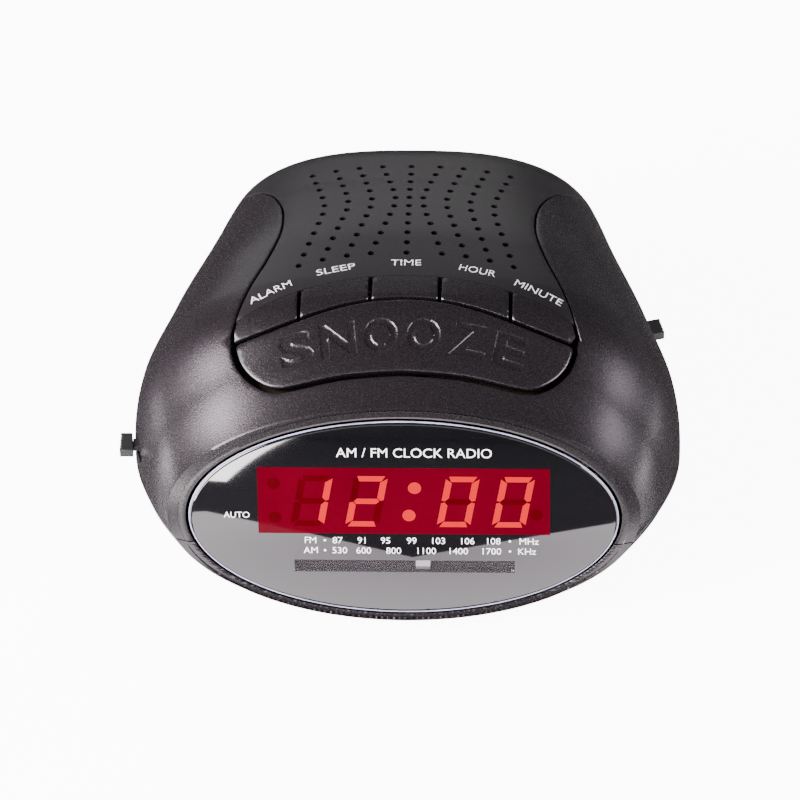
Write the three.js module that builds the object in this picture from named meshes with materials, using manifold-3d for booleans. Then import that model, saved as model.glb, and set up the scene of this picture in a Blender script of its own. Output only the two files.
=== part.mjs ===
// Clock radio: a low rounded case with an oval lens, a snooze bar, five function keys and a speaker grille.
// Millimetres, +Z up. The user faces the lens from -Y, and +X is to the user's right.
// The case is drawn about its own mid-plane, x = 0. The finished group is then moved, so that the origin
// is the centre of the whole radio's box, at the bottom of the feet.
import * as THREE from "three";
import { mergeVertices } from "three/addons/utils/BufferGeometryUtils.js";
import Module from "manifold-3d";

// ---------------------------------------------------------------- driving dimensions

// Case: lofted from sections that lean back with the front ring and stand upright towards the rear.
const CASE_LENGTH = 121;
const REAR_RADIUS = 12;
const WALL = 2;
const BASE_Z = 3;
const PARTING_Z = 24.5;
const GAP = 0.3;
const FRONT_TILT = THREE.MathUtils.degToRad(17.5);
const TILT_ENDS_AT = 0.8;
const RING_Z = 31.7;
const RING_EXPONENT = 2;
const BODY_EXPONENT = 2.7;
const BASE_INSET_LIMIT = 6;
// Share of the case length, half width, height of the top.
const SECTIONS = [
  [0, 59.2, 60.4],
  [0.12, 64.8, 66.4],
  [0.28, 69.4, 71.4],
  [0.5, 63.4, 70.4],
  [0.72, 55.6, 66.4],
  [0.9, 49.2, 60.8],
  [1, 44, 56.4],
];
const CASE_STATIONS = [0, 0.06, 0.13, 0.21, 0.29, 0.38, 0.48, 0.58, 0.69, 0.8];
const REAR_STATIONS = 4;
const CASE_SIDES = 38;

// Front ring and lens, in the leaning front plane: u to the right, v up the plane, w out of it.
const RING_INNER = { u: 54.6, v: 28, centre: -0.4, w: 1.2 };
const LENS = { u: 53.6, v: 27.2, centre: -0.6, back: -1, edge: 1, crown: 2.4 };
const LENS_SEAT = { clearance: 0.4, floor: -1.3, ledge: 2.2 };
const WINDOW = { u: 37.5, low: -7, high: 15 };

// Top: a groove parts the housing's side arms from the top panel (half width, place along the case).
const GROOVE = [
  [43.6, 40],
  [41.3, 48],
  [38.6, 55.5],
  [35.4, 63.5],
  [32.9, 72],
  [32.2, 79],
  [33, 87.5],
  [36, 96],
  [40.6, 102.3],
  [46, 106],
  [56, 108.4],
  [75, 109.5],
];
const GROOVE_GAP = 0.4;

// Keys: a snooze bar and five function keys behind it.
const SNOOZE_FRONT = [
  [0, 27.1],
  [15, 26.4],
  [27, 25.1],
  [32.6, 25.4],
  [37.2, 28.2],
  [40.4, 32],
  [41.9, 35.6],
  [42.2, 37.2],
];
const SNOOZE_GAP = 1.4;
const SNOOZE_REAR = { y: 37.6, rise: 8.4, half: 48 };
const KEY_REAR = { y: 53.9, bow: 0.006 };
const KEY_GAP = 0.9;
const KEY_SPLITS = [-26.5, -8.7, 8.7, 26.5];
const KEY_NAMES = ["alarm_key", "sleep_key", "time_key", "hour_key", "minute_key"];
const SNOOZE_TRAVEL = 1.5;
const KEY_TRAVEL = 0.5;
const STEM_RADIUS = 1.8;

// Speaker grille: nine bowed columns of eleven holes.
const GRILLE = { side: 4, rows: 11, y: 103, pitch: 4.04, hole: 0.85 };
const COLUMN = { first: 3.5, step: 6.03, vertex: 4.3, slope: 1.12, round: 1 };

// Key board and its switches.
const KEY_BOARD_TOP = 55.5;
const TACT = { size: 6, height: 3.5, button: 1.75, rise: 1 };
const BOARD = 1.6;

// Side sliders: place of the knob along the case, its height, and where its outer face ends.
const FUNCTION_SLIDER = { y: 34, z: 30, surface: 69.4, outer: 72.7, half: 3, travel: 4, turn: 0 };
const BAND_SLIDER = { y: 67, z: 39, surface: 61.4, outer: 64.8, half: 2.5, travel: 3, turn: 0.27 };

// Thumbwheels, low in the two sides.
const WHEEL = { low: 14, high: 18, bore: 3.3, shaft: 3, slot: 14.4 };
const VOLUME = { x: -49.5, y: 62, radius: 13.5 };
const TUNING = { x: 48.5, y: 62, radius: 14.5, drum: 11, drumTop: 21.6 };

// Dial, in the front plane.
const DIAL = { v: -15.4, pointer: 4.65, rail: -4.6, cord: -5.7, cordRadius: 0.25, end: 29.4 };
const PULLEY = { u: 34, v: -18.6, radius: 2.8, wrap: 3.2, low: -6.5, high: -5 };

// Battery bay for a 9 V block battery, open at the bottom.
const BAY = { x: 25.8, front: 78.8, rear: 107.2, roof: 22.6, wall: 1.6 };

// Loudspeaker with a 57 mm frame, parallel to the top behind the keys.
const SPEAKER = { y: 82, z: 59, radius: 28.5, tilt: THREE.MathUtils.degToRad(-10.8) };

// Screws, feet, cord entry.
const SCREWS = [
  ["front_left", -50, 18],
  ["front_right", 50, 18],
  ["rear_left", -45, 96],
  ["rear_right", 45, 96],
];
const SCREW = { seat: 14, head: 2.9, headHeight: 2.2, shaft: 1.5, length: 19, boss: 3.6 };
const FEET = [
  ["front_left", -40, 24],
  ["front_right", 40, 24],
  ["rear_left", -33, 99],
  ["rear_right", 33, 99],
];
const FOOT = { radius: 5.5, height: 1.9, boss: 6.2 };
const GLAND = { x: 12, z: 18.4, hole: 4 };

// ---------------------------------------------------------------- materials

const plastic = (color, roughness = 0.6) =>
  new THREE.MeshStandardMaterial({ color, roughness, metalness: 0 });
const metal = (color, roughness = 0.35) =>
  new THREE.MeshStandardMaterial({ color, roughness, metalness: 0.9 });

const CHARCOAL = 0x2c292e;
const PANEL = 0x29272b;
const LENS_BLACK = 0x08080a;
const FILTER_RED = 0x8a0614;
const RUBBER = 0x151515;
const BOARD_GREEN = 0x2f5a34;
const BOARD_TAN = 0xa9834d;
const WHITE = 0xe8e6e0;
const STEEL = 0xb5b7ba;
const BRASS = 0xb98d3e;
const COPPER = 0xa65e2e;
const FERRITE = 0x3a3836;
const PAPER = 0x1c1b1a;
const CHIP = 0x161617;

// ---------------------------------------------------------------- solids

const wasm = await Module();
wasm.setup();

// A closed geometry as a solid that can be joined and cut.
function solid(geometry) {
  const bare = geometry.clone();
  bare.deleteAttribute("normal");
  bare.deleteAttribute("uv");
  const merged = mergeVertices(bare, 1e-4);
  return new wasm.Manifold(
    new wasm.Mesh({
      numProp: 3,
      vertProperties: new Float32Array(merged.attributes.position.array),
      triVerts: new Uint32Array(merged.index.array),
    }),
  );
}

function geometryOf(manifold) {
  const { vertProperties, triVerts } = manifold.getMesh();
  const geometry = new THREE.BufferGeometry();
  geometry.setAttribute("position", new THREE.Float32BufferAttribute(vertProperties, 3));
  geometry.setIndex([...triVerts]);
  geometry.computeVertexNormals();
  return geometry;
}

const joined = (...parts) => parts.reduce((whole, part) => whole.add(part));
const cutBy = (whole, ...tools) => tools.reduce((rest, tool) => rest.subtract(tool), whole);

// A box between two corners.
function block(x0, x1, y0, y1, z0, z1) {
  const geometry = new THREE.BoxGeometry(x1 - x0, y1 - y0, z1 - z0);
  return geometry.translate((x0 + x1) / 2, (y0 + y1) / 2, (z0 + z1) / 2);
}

// An upright cylinder between two heights.
function post(x, y, radius, z0, z1, sides = 16) {
  const geometry = new THREE.CylinderGeometry(radius, radius, z1 - z0, sides);
  return geometry.rotateX(Math.PI / 2).translate(x, y, (z0 + z1) / 2);
}

// An upright prism over an outline of [x, y] points.
function prism(outline, z0, z1) {
  const shape = new THREE.Shape(outline.map(([x, y]) => new THREE.Vector2(x, y)));
  const options = { depth: z1 - z0, bevelEnabled: false };
  return new THREE.ExtrudeGeometry(shape, options).translate(0, 0, z0);
}

// A turned piece about Z, from a closed profile of [radius, z] points listed from bottom to top outside.
function turned(profile, sides = 24) {
  const points = profile.map(([r, z]) => new THREE.Vector2(r, z));
  return new THREE.LatheGeometry(points, sides).rotateX(Math.PI / 2);
}

// The same for a ring, whose profile closes on itself.
const turnedRing = (profile, sides) => turned([...profile, profile[0]], sides);

function ellipse(halfU, halfV, centreV, w0, w1, sides = 40) {
  const geometry = new THREE.CylinderGeometry(1, 1, w1 - w0, sides).rotateX(Math.PI / 2);
  return geometry.scale(halfU, halfV, 1).translate(0, centreV, (w0 + w1) / 2);
}

// ---------------------------------------------------------------- case surface

// Smooth curve through a column of SECTIONS that never overshoots its points.
function sectionCurve(column) {
  const at = SECTIONS.map((row) => row[0]);
  const value = SECTIONS.map((row) => row[column]);
  const last = at.length - 1;
  const step = (i) => at[i + 1] - at[i];
  const rise = (i) => (value[i + 1] - value[i]) / step(i);
  const slope = at.map((_, i) => {
    if (i === 0) return rise(0);
    if (i === last) return rise(last - 1);
    const [before, after] = [rise(i - 1), rise(i)];
    if (before * after <= 0) return 0;
    const w1 = 2 * step(i) + step(i - 1);
    const w2 = step(i) + 2 * step(i - 1);
    return (w1 + w2) / (w1 / before + w2 / after);
  });
  return (s) => {
    let i = 0;
    while (i < last - 1 && s > at[i + 1]) i += 1;
    const h = step(i);
    const t = (s - at[i]) / h;
    const [t2, t3] = [t * t, t * t * t];
    const ends = (2 * t3 - 3 * t2 + 1) * value[i] + (3 * t2 - 2 * t3) * value[i + 1];
    return ends + h * ((t3 - 2 * t2 + t) * slope[i] + (t3 - t2) * slope[i + 1]);
  };
}
const halfWidthAt = sectionCurve(1);
const topAt = sectionCurve(2);

// One point of the case: s along it, angle round it, and how far inside the outer surface.
function casePoint(s, angle, inside) {
  const along = s * CASE_LENGTH;
  const straight = CASE_LENGTH - REAR_RADIUS;
  const q = THREE.MathUtils.clamp((along - straight) / (REAR_RADIUS - inside), 0, 1);
  const round = (REAR_RADIUS - inside) * (1 - Math.sqrt(1 - q * q));
  const inset = inside + round;
  const bottom = BASE_Z + inside + Math.min(round, BASE_INSET_LIMIT);
  const blend = (1 - THREE.MathUtils.clamp(s / 0.3, 0, 1)) ** 2;
  const widest = PARTING_Z + (RING_Z - PARTING_Z) * blend;
  const exponent = RING_EXPONENT + (BODY_EXPONENT - RING_EXPONENT) * Math.min(1, s / 0.35);
  const bend = (c) => Math.sign(c) * Math.abs(c) ** (2 / exponent);
  const height = Math.sin(angle) > 0 ? topAt(s) - inset - widest : widest - bottom;
  const x = (halfWidthAt(s) - inset) * bend(Math.cos(angle));
  const z = widest + height * bend(Math.sin(angle));
  const tilt = FRONT_TILT * Math.max(0, 1 - s / TILT_ENDS_AT);
  return new THREE.Vector3(x, along + (z - BASE_Z) * Math.tan(tilt), z);
}

function caseRing(s, inside) {
  const ring = [];
  for (let i = 0; i < CASE_SIDES; i += 1)
    ring.push(casePoint(s, (2 * Math.PI * i) / CASE_SIDES, inside));
  return ring;
}

// A closed skin over rings of points, with a fan on each end.
function skin(rings) {
  const count = rings[0].length;
  const points = rings.flat();
  const faces = [];
  rings.slice(1).forEach((_, r) => {
    for (let i = 0; i < count; i += 1) {
      const j = (i + 1) % count;
      const [a, b, c, d] = [r * count + i, r * count + j, (r + 1) * count + j, (r + 1) * count + i];
      faces.push(a, c, b, a, d, c);
    }
  });
  const centreOf = (ring) =>
    ring.reduce((sum, p) => sum.add(p), new THREE.Vector3()).divideScalar(ring.length);
  const first = points.push(centreOf(rings[0])) - 1;
  const last = points.push(centreOf(rings.at(-1))) - 1;
  const start = (rings.length - 1) * count;
  for (let i = 0; i < count; i += 1) {
    const j = (i + 1) % count;
    faces.push(first, i, j, last, start + j, start + i);
  }
  const geometry = new THREE.BufferGeometry().setFromPoints(points);
  geometry.setIndex(faces);
  return geometry;
}

// The front plane's own frame: x is u, y is v, z is w.
const frontFrame = new THREE.Matrix4()
  .makeRotationX(Math.PI / 2 - FRONT_TILT)
  .setPosition(0, (RING_Z - BASE_Z) * Math.tan(FRONT_TILT), RING_Z);
const frontPoint = (u, v, w) => new THREE.Vector3(u, v, w).applyMatrix4(frontFrame);
const inFront = (geometry) => solid(geometry.applyMatrix4(frontFrame));

function outerSolid() {
  const lip = caseRing(0, 0).map((_, i) => {
    const angle = (2 * Math.PI * i) / CASE_SIDES;
    const v = RING_INNER.centre + RING_INNER.v * Math.sin(angle);
    return frontPoint(RING_INNER.u * Math.cos(angle), v, RING_INNER.w);
  });
  return solid(skin([lip, ...caseStations(0, 0)]));
}

function caseStations(first, inside) {
  const stations = CASE_STATIONS.filter((s) => s > first);
  for (let i = 0; i <= REAR_STATIONS; i += 1) {
    const reach = (REAR_RADIUS - inside) * Math.sin((i / REAR_STATIONS) * (Math.PI / 2));
    stations.push((CASE_LENGTH - REAR_RADIUS + reach) / CASE_LENGTH);
  }
  return [first, ...stations].map((s) => caseRing(s, inside));
}

// Height of the outer surface over a place, found by halving along the case.
function surfaceZ(x, y) {
  const heightAt = (s) => {
    let [low, high] = [0, Math.PI / 2];
    for (let i = 0; i < 40; i += 1) {
      const middle = (low + high) / 2;
      if (casePoint(s, middle, 0).x > Math.abs(x)) low = middle;
      else high = middle;
    }
    return casePoint(s, low, 0);
  };
  let [near, far] = [0, 1];
  for (let i = 0; i < 40; i += 1) {
    const middle = (near + far) / 2;
    if (heightAt(middle).y < y) near = middle;
    else far = middle;
  }
  return heightAt(near).z;
}

// ---------------------------------------------------------------- outlines seen from above

const smooth = (points, count) =>
  new THREE.SplineCurve(points.map(([x, y]) => new THREE.Vector2(x, y)))
    .getPoints(count)
    .map((p) => [p.x, p.y]);
const mirrored = (points) => points.map(([x, y]) => [-x, y]).reverse();

// The region behind the groove, widened or narrowed by grow, reaching past the rear.
function panelOutline(grow) {
  const side = smooth(GROOVE, 30).map(([x, y]) => [x + grow, y - (x > 45 ? grow : 0)]);
  const ahead = [
    [-42, 36],
    [42, 36],
  ];
  const behind = [
    [75, 140],
    [-75, 140],
  ];
  return [...mirrored(side), ...ahead, ...side, ...behind];
}

// The ground forward of the keys' hinge line.
function keyGround(grow) {
  const outline = [
    [-50, 20],
    [50, 20],
  ];
  for (let x = 50; x >= -50; x -= 5) outline.push([x, KEY_REAR.y - KEY_REAR.bow * x * x + grow]);
  return outline;
}

const snoozeRearY = (x) =>
  SNOOZE_REAR.y + SNOOZE_REAR.rise * Math.cos((Math.PI * x) / (2 * SNOOZE_REAR.half)) ** 2;

function snoozeOutline(grow) {
  const front = smooth(SNOOZE_FRONT, 20).map(([x, y], i, all) => {
    const [x0, y0] = all[Math.max(i - 1, 0)];
    const [x1, y1] = all[Math.min(i + 1, all.length - 1)];
    const length = Math.hypot(x1 - x0, y1 - y0);
    return [x + (grow * (y1 - y0)) / length, y - (grow * (x1 - x0)) / length];
  });
  const rear = [];
  const end = SNOOZE_FRONT.at(-1)[0] - 1;
  for (let x = end; x >= -end; x -= end / 9) rear.push([x, snoozeRearY(x) - KEY_GAP / 2]);
  return [...mirrored(front), ...front.slice(1), ...rear];
}

function keyOutline(index) {
  const outer = (y, side) => {
    const [a, b] = GROOVE;
    return side * (a[0] + ((y - a[1]) * (b[0] - a[0])) / (b[1] - a[1]) - KEY_GAP);
  };
  const left = index === 0 ? null : KEY_SPLITS[index - 1] + KEY_GAP / 2;
  const right = index === KEY_SPLITS.length ? null : KEY_SPLITS[index] - KEY_GAP / 2;
  const ends = [left ?? outer(45, -1), right ?? outer(45, 1)];
  const line = [];
  for (let i = 0; i <= 4; i += 1) line.push(ends[0] + ((ends[1] - ends[0]) * i) / 4);
  const front = line.map((x) => [x, snoozeRearY(x) + KEY_GAP / 2]);
  const rear = line.map((x) => [x, KEY_REAR.y - KEY_REAR.bow * x * x - GROOVE_GAP / 2]);
  return [...front, ...rear.reverse()];
}

// ---------------------------------------------------------------- case pieces

const HIGH = 90;
const LOW = -5;
const WIDE = 100;

function shell() {
  const cavity = solid(skin(caseStations(0.035, WALL)));
  return { outer: outerSolid(), cavity };
}

const { outer, cavity } = shell();
const wallSolid = outer.subtract(cavity);
const above = solid(block(-WIDE, WIDE, -WIDE, 2 * WIDE, PARTING_Z + GAP / 2, HIGH));
const below = solid(block(-WIDE, WIDE, -WIDE, 2 * WIDE, LOW, PARTING_Z - GAP / 2));

// The seat that holds the lens, and the opening behind it.
const seat = inFront(
  ellipse(
    LENS.u + LENS_SEAT.clearance,
    LENS.v + LENS_SEAT.clearance,
    LENS.centre,
    LENS_SEAT.floor,
    LENS_SEAT.floor + 10,
  ),
);
const opening = inFront(
  ellipse(LENS.u - LENS_SEAT.ledge, LENS.v - LENS_SEAT.ledge, LENS.centre, -8, 5),
);

function screwBosses(z0, z1, trim) {
  const bosses = SCREWS.map(([, x, y]) => solid(post(x, y, SCREW.boss, z0, z1, 12)));
  return joined(...bosses).intersect(trim);
}

// The knob's slot through the wall, in the knob's own frame.
function sliderSlot(slider, side, from, to) {
  const slot = block(-6, 6, from, to, -1, 1).rotateZ(slider.turn);
  return solid(slot.translate(side * slider.surface, slider.y, slider.z));
}

function upperHousing() {
  const panelCut = solid(prism(panelOutline(GROOVE_GAP / 2), PARTING_Z - 1, HIGH));
  const snoozeCut = solid(prism(snoozeOutline(SNOOZE_GAP), 40, HIGH));
  const bosses = screwBosses(PARTING_Z + GAP / 2, HIGH, outer);
  const holes = SCREWS.map(([, x, y]) => solid(post(x, y, 1.8, 20, SCREW.seat + SCREW.length + 1, 12)));
  const { travel } = FUNCTION_SLIDER;
  const functionSlot = sliderSlot(FUNCTION_SLIDER, -1, -travel - 1.6, travel + 1.6);
  const bandSlot = sliderSlot(BAND_SLIDER, 1, -1.6, BAND_SLIDER.travel + 1.6);
  const ring = joined(wallSolid.intersect(above), bosses.intersect(above));
  return cutBy(ring, panelCut, snoozeCut, seat, opening, functionSlot, bandSlot, ...holes);
}

function topPanel() {
  const region = solid(prism(panelOutline(-GROOVE_GAP / 2), PARTING_Z - 1, HIGH));
  const keys = solid(prism(keyGround(GROOVE_GAP / 2), 40, HIGH));
  return cutBy(wallSolid.intersect(above).intersect(region), keys, ...grilleHoles());
}

function grilleHoles() {
  const holes = [];
  for (let column = -GRILLE.side; column <= GRILLE.side; column += 1) {
    const side = Math.abs(column);
    for (let row = 0; row < GRILLE.rows; row += 1) {
      const t = COLUMN.slope * (row - COLUMN.vertex);
      const bow = Math.hypot(t, COLUMN.round) - COLUMN.round;
      const x = column && Math.sign(column) * (COLUMN.first + COLUMN.step * (side - 1) + bow);
      const y = GRILLE.y - GRILLE.pitch * row - side * side * (0.125 + 0.01 * row);
      holes.push(solid(post(x, y, GRILLE.hole, 50, 80, 6)));
    }
  }
  return holes;
}

function lowerHousing() {
  const floor = BASE_Z + 0.5;
  const bay = block(
    -BAY.x - BAY.wall,
    BAY.x + BAY.wall,
    BAY.front - BAY.wall,
    BAY.rear + BAY.wall,
    floor,
    BAY.roof + BAY.wall - 0.1,
  );
  const bayInside = solid(block(-BAY.x, BAY.x, BAY.front, BAY.rear, LOW, BAY.roof));
  const bosses = screwBosses(floor, PARTING_Z - GAP / 2, outer);
  const pads = FEET.map(([, x, y]) => solid(post(x, y, FOOT.boss, FOOT.height + GAP, 7.4, 12)));
  const whole = joined(wallSolid.intersect(below), solid(bay).intersect(outer), bosses, ...pads);
  const screwHoles = SCREWS.flatMap(([, x, y]) => [
    solid(post(x, y, SCREW.head + 0.6, LOW, SCREW.seat, 12)),
    solid(post(x, y, SCREW.shaft + 0.4, LOW, PARTING_Z + 1, 12)),
  ]);
  const wheelSlots = [VOLUME, TUNING].map(({ x, y }) => {
    const side = Math.sign(x);
    const [x0, x1] = side < 0 ? [-80, -50] : [50, 80];
    return solid(block(x0, x1, y - WHEEL.slot, y + WHEEL.slot, WHEEL.low - 0.6, WHEEL.high + 0.6));
  });
  const glandHole = solid(
    new THREE.CylinderGeometry(GLAND.hole, GLAND.hole, 12, 16).translate(GLAND.x, CASE_LENGTH, GLAND.z),
  );
  return cutBy(whole, bayInside, seat, opening, glandHole, ...wheelSlots, ...screwHoles);
}

function batteryDoor() {
  const [x, y0, y1] = [BAY.x - 0.4, BAY.front + 0.4, BAY.rear - 0.4];
  return wallSolid.intersect(solid(block(-x, x, y0, y1, LOW, 12)));
}

function displayLens() {
  const profile = [
    [0, LENS.back],
    [1, LENS.back],
    [1, LENS.edge],
    [0.8, LENS.edge + 0.36 * (LENS.crown - LENS.edge)],
    [0.5, LENS.edge + 0.75 * (LENS.crown - LENS.edge)],
    [0, LENS.crown],
  ];
  return turned(profile, 40).scale(LENS.u, LENS.v, 1).translate(0, LENS.centre, 0);
}

// ---------------------------------------------------------------- keys

const tactTop = KEY_BOARD_TOP + GAP + TACT.height + TACT.rise;

function withStem(top, x, y, travel) {
  const low = tactTop + travel + 0.25;
  return top.add(solid(post(x, y, STEM_RADIUS, low, surfaceZ(x, y) - 1, 10)));
}

function snoozeKey() {
  const top = wallSolid.intersect(solid(prism(snoozeOutline(0), 50, HIGH)));
  return withStem(top, 0, 35, SNOOZE_TRAVEL);
}

function keyCentre(index) {
  const outline = keyOutline(index);
  const mean = (axis) => outline.reduce((sum, p) => sum + p[axis], 0) / outline.length;
  return [mean(0), mean(1)];
}

function functionKey(index) {
  const top = wallSolid.intersect(solid(prism(keyOutline(index), 50, HIGH)));
  return withStem(top, ...keyCentre(index), KEY_TRAVEL);
}

function tactSwitch() {
  const half = TACT.size / 2;
  const body = solid(block(-half, half, -half, half, 0, TACT.height));
  const button = solid(post(0, 0, TACT.button, TACT.height - 0.5, TACT.height + TACT.rise, 8));
  return body.add(button);
}

// ---------------------------------------------------------------- controls

// A knob outside the wall on a stem that runs to its switch: x points out of the case.
function sliderKnob({ surface, outer: reach, half }) {
  const face = 0.6;
  const cap = solid(block(face + 0.3, reach - surface, -half, half, -1.3, 1.3));
  const flange = solid(block(face, face + 0.6, -half - 2, half + 2, -1.7, 1.7));
  const stem = solid(block(-9.2, face + 0.3, -1.2, 1.2, -0.7, 0.7));
  return joined(cap, flange, stem);
}

// A slide switch whose channel takes the knob's stem.
function slideSwitch(from, to, depth) {
  const body = solid(block(-12.4, -5.8, from - 1.5, to + 1.5, -3.2, depth));
  return body.subtract(solid(block(-10, 0, from, to, -1.1, 1.1)));
}

function volumeWheel() {
  const disc = solid(post(0, 0, VOLUME.radius, WHEEL.low, WHEEL.high, 28));
  return disc.subtract(solid(post(0, 0, WHEEL.bore, 0, 40)));
}

function tuningWheel() {
  const disc = solid(post(0, 0, TUNING.radius, WHEEL.low, WHEEL.high, 28));
  const drum = solid(post(0, 0, TUNING.drum, WHEEL.high - 1, TUNING.drumTop, 20));
  return disc.add(drum).subtract(solid(post(0, 0, WHEEL.bore, 0, 40)));
}

function potentiometer() {
  const body = solid(post(0, 0, 8, 18.6, 24.6, 20));
  return body.add(solid(post(0, 0, WHEEL.shaft, 13.2, 19, 14)));
}

function tuningCapacitor() {
  const body = solid(block(-9, 9, -9, 9, 22.1, 33.1));
  return body.add(solid(post(0, 0, WHEEL.shaft, 13.2, 23, 14)));
}

// ---------------------------------------------------------------- dial, in the front plane

function dialRail() {
  const { end, v, rail, cord } = DIAL;
  const plate = solid(block(-35.4, 35.4, v - 3.6, v + 2.4, -8.6, -7.6));
  const rodShape = new THREE.CylinderGeometry(0.5, 0.5, 2 * end, 8).rotateZ(Math.PI / 2);
  const rod = solid(rodShape.translate(0, v, rail));
  const fixtures = [-1, 1].flatMap((side) => [
    solid(block(side * end - 0.8, side * end + 0.8, v - 1.6, v + 1.6, -8, -4)),
    solid(post(side * PULLEY.u, PULLEY.v, 0.6, -8, PULLEY.high + 0.5, 8)),
  ]);
  const cordWay = solid(block(-60, 60, v - 0.9, v + 0.9, cord - 0.7, cord + 0.5));
  return cutBy(joined(plate, ...fixtures), cordWay).add(rod);
}

function dialPointer() {
  const { pointer, v } = DIAL;
  const face = solid(block(pointer - 1.75, pointer + 1.75, v - 1.25, v + 1.25, -2.7, -1.7));
  const carriage = solid(block(pointer - 1.75, pointer + 1.75, v - 1.8, v + 1.8, -6.9, -2.5));
  const channel = solid(block(pointer - 5, pointer + 5, v - 1.1, v + 1.1, -6.3, -3.6));
  return face.add(carriage).subtract(channel);
}

function dialPulley() {
  const profile = [
    [0.9, PULLEY.low],
    [PULLEY.radius, PULLEY.low],
    [PULLEY.radius - 0.5, (PULLEY.low + PULLEY.high) / 2],
    [PULLEY.radius, PULLEY.high],
    [0.9, PULLEY.high],
  ];
  return turnedRing(profile, 14);
}

// From the tuning drum over both pulleys and back to the drum.
function dialCord() {
  const arc = (centre, angle) => {
    const u = centre + PULLEY.wrap * Math.cos(angle);
    return frontPoint(u, PULLEY.v + PULLEY.wrap * Math.sin(angle), DIAL.cord);
  };
  const drumSide = TUNING.x - TUNING.drum - 0.8;
  const points = [
    new THREE.Vector3(drumSide, TUNING.y - 1, 19.2),
    new THREE.Vector3(drumSide + 3, 34, 16.4),
  ];
  for (let i = 0; i <= 3; i += 1) points.push(arc(PULLEY.u, (i * Math.PI) / 6));
  for (const u of [22, 0, -22]) points.push(frontPoint(u, DIAL.v, DIAL.cord));
  for (let i = 3; i <= 9; i += 1) points.push(arc(-PULLEY.u, (i * Math.PI) / 6));
  for (const u of [-12, 10, 26]) points.push(frontPoint(u, PULLEY.v - PULLEY.wrap, DIAL.cord));
  points.push(new THREE.Vector3(29, 16, 12.4));
  points.push(new THREE.Vector3(drumSide, TUNING.y - 1, 20.7));
  const path = new THREE.CatmullRomCurve3(points, false, "centripetal");
  const section = new THREE.Shape();
  section.absarc(0, 0, DIAL.cordRadius, 0, 2 * Math.PI);
  const options = { steps: 70, curveSegments: 3, bevelEnabled: false, extrudePath: path };
  return new THREE.ExtrudeGeometry(section, options);
}

// ---------------------------------------------------------------- inside

function speakerBasket() {
  const profile = [
    [15, -14],
    [24.9, -2],
    [SPEAKER.radius, -2],
    [SPEAKER.radius, 0],
    [26, 0],
    [25, -1],
    [14, -13],
    [3, -13],
    [3, -14],
  ];
  return turnedRing(profile, 24);
}

function speakerCone() {
  const profile = [
    [0, -8.5],
    [6, -10.5],
    [23.6, -0.8],
    [24.8, -0.6],
    [24.8, 0.2],
    [23.4, 0.2],
    [6, -9.3],
    [0, -7.4],
  ];
  return turned(profile, 24);
}

function speakerMagnet() {
  const profile = [
    [0, -22],
    [14, -22],
    [14, -14.3],
    [0, -14.3],
  ];
  return turned(profile, 18);
}

function transformerCore() {
  const core = solid(block(-17, 17, -9, 9, 0, 26));
  const windows = [-1, 1].map((side) => solid(block(side * 8.5 - 3.2, side * 8.5 + 3.2, -20, 20, 5, 21)));
  return cutBy(core, ...windows);
}

function transformerCoil() {
  const coil = solid(block(-11.4, 11.4, -14, 14, 5.3, 20.7));
  return coil.subtract(solid(block(-5.6, 5.6, -9.3, 9.3, 0, 30)));
}

function ferriteHolder() {
  const base = solid(block(-22, 22, 99, 107, 24.5, 25.8));
  const posts = [-1, 1].map((side) => solid(block(side * 20 - 1.5, side * 20 + 1.5, 99, 107, 25, 34)));
  const rod = new THREE.CylinderGeometry(4.3, 4.3, 80, 16).rotateZ(Math.PI / 2).translate(0, 103, 34);
  return joined(base, ...posts).subtract(solid(rod));
}

function batteryContacts() {
  const plate = solid(block(-25.5, -23.5, 83, 103, 8.5, 20));
  const studs = [
    [88, 2.6],
    [98, 3.6],
  ].map(([y, radius]) =>
    solid(new THREE.CylinderGeometry(radius, radius, 2.4, 12).rotateZ(Math.PI / 2).translate(-22.5, y, 14.2)),
  );
  return joined(plate, ...studs);
}

// A flat cable from the display board down to the main board.
function displayRibbon() {
  const line = smooth(
    [
      [18.6, 24],
      [20.6, 20.4],
      [21.6, 15],
      [21.6, 10.4],
    ],
    10,
  );
  const back = line.map(([y, z]) => [y + 0.5, z + 0.1]).reverse();
  const shape = new THREE.Shape([...line, ...back].map(([y, z]) => new THREE.Vector2(y, z)));
  const strip = new THREE.ExtrudeGeometry(shape, { depth: 20, bevelEnabled: false });
  return strip.applyMatrix4(new THREE.Matrix4().set(0, 0, 1, -10, 1, 0, 0, 0, 0, 1, 0, 0, 0, 0, 0, 1));
}

function cordGland() {
  const profile = [
    [1.9, -3.5],
    [5, -3.5],
    [5, -2.3],
    [3.7, -2.3],
    [3.7, 0.3],
    [5.5, 0.3],
    [4.9, 2],
    [1.9, 2],
  ];
  return turnedRing(profile, 14).rotateX(-Math.PI / 2);
}

function caseScrew() {
  const profile = [
    [0, -SCREW.headHeight],
    [SCREW.head * 0.7, -SCREW.headHeight],
    [SCREW.head, -SCREW.headHeight * 0.5],
    [SCREW.head, 0],
    [SCREW.shaft, 0],
    [SCREW.shaft, SCREW.length - 2],
    [0, SCREW.length],
  ];
  return turned(profile, 10);
}

// ---------------------------------------------------------------- assembly

const radio = new THREE.Group();
const front = new THREE.Group();
front.applyMatrix4(frontFrame);
const speaker = new THREE.Group();
speaker.position.set(0, SPEAKER.y, SPEAKER.z);
speaker.rotation.x = SPEAKER.tilt;
radio.add(front, speaker);

// Adds a named mesh to a group, from a geometry or a solid.
function piece(name, shape, material, group = radio, place = [0, 0, 0]) {
  const geometry = shape.isBufferGeometry ? shape : geometryOf(shape);
  const mesh = new THREE.Mesh(geometry, material);
  mesh.name = name;
  mesh.position.set(...place);
  group.add(mesh);
  return mesh;
}

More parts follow.
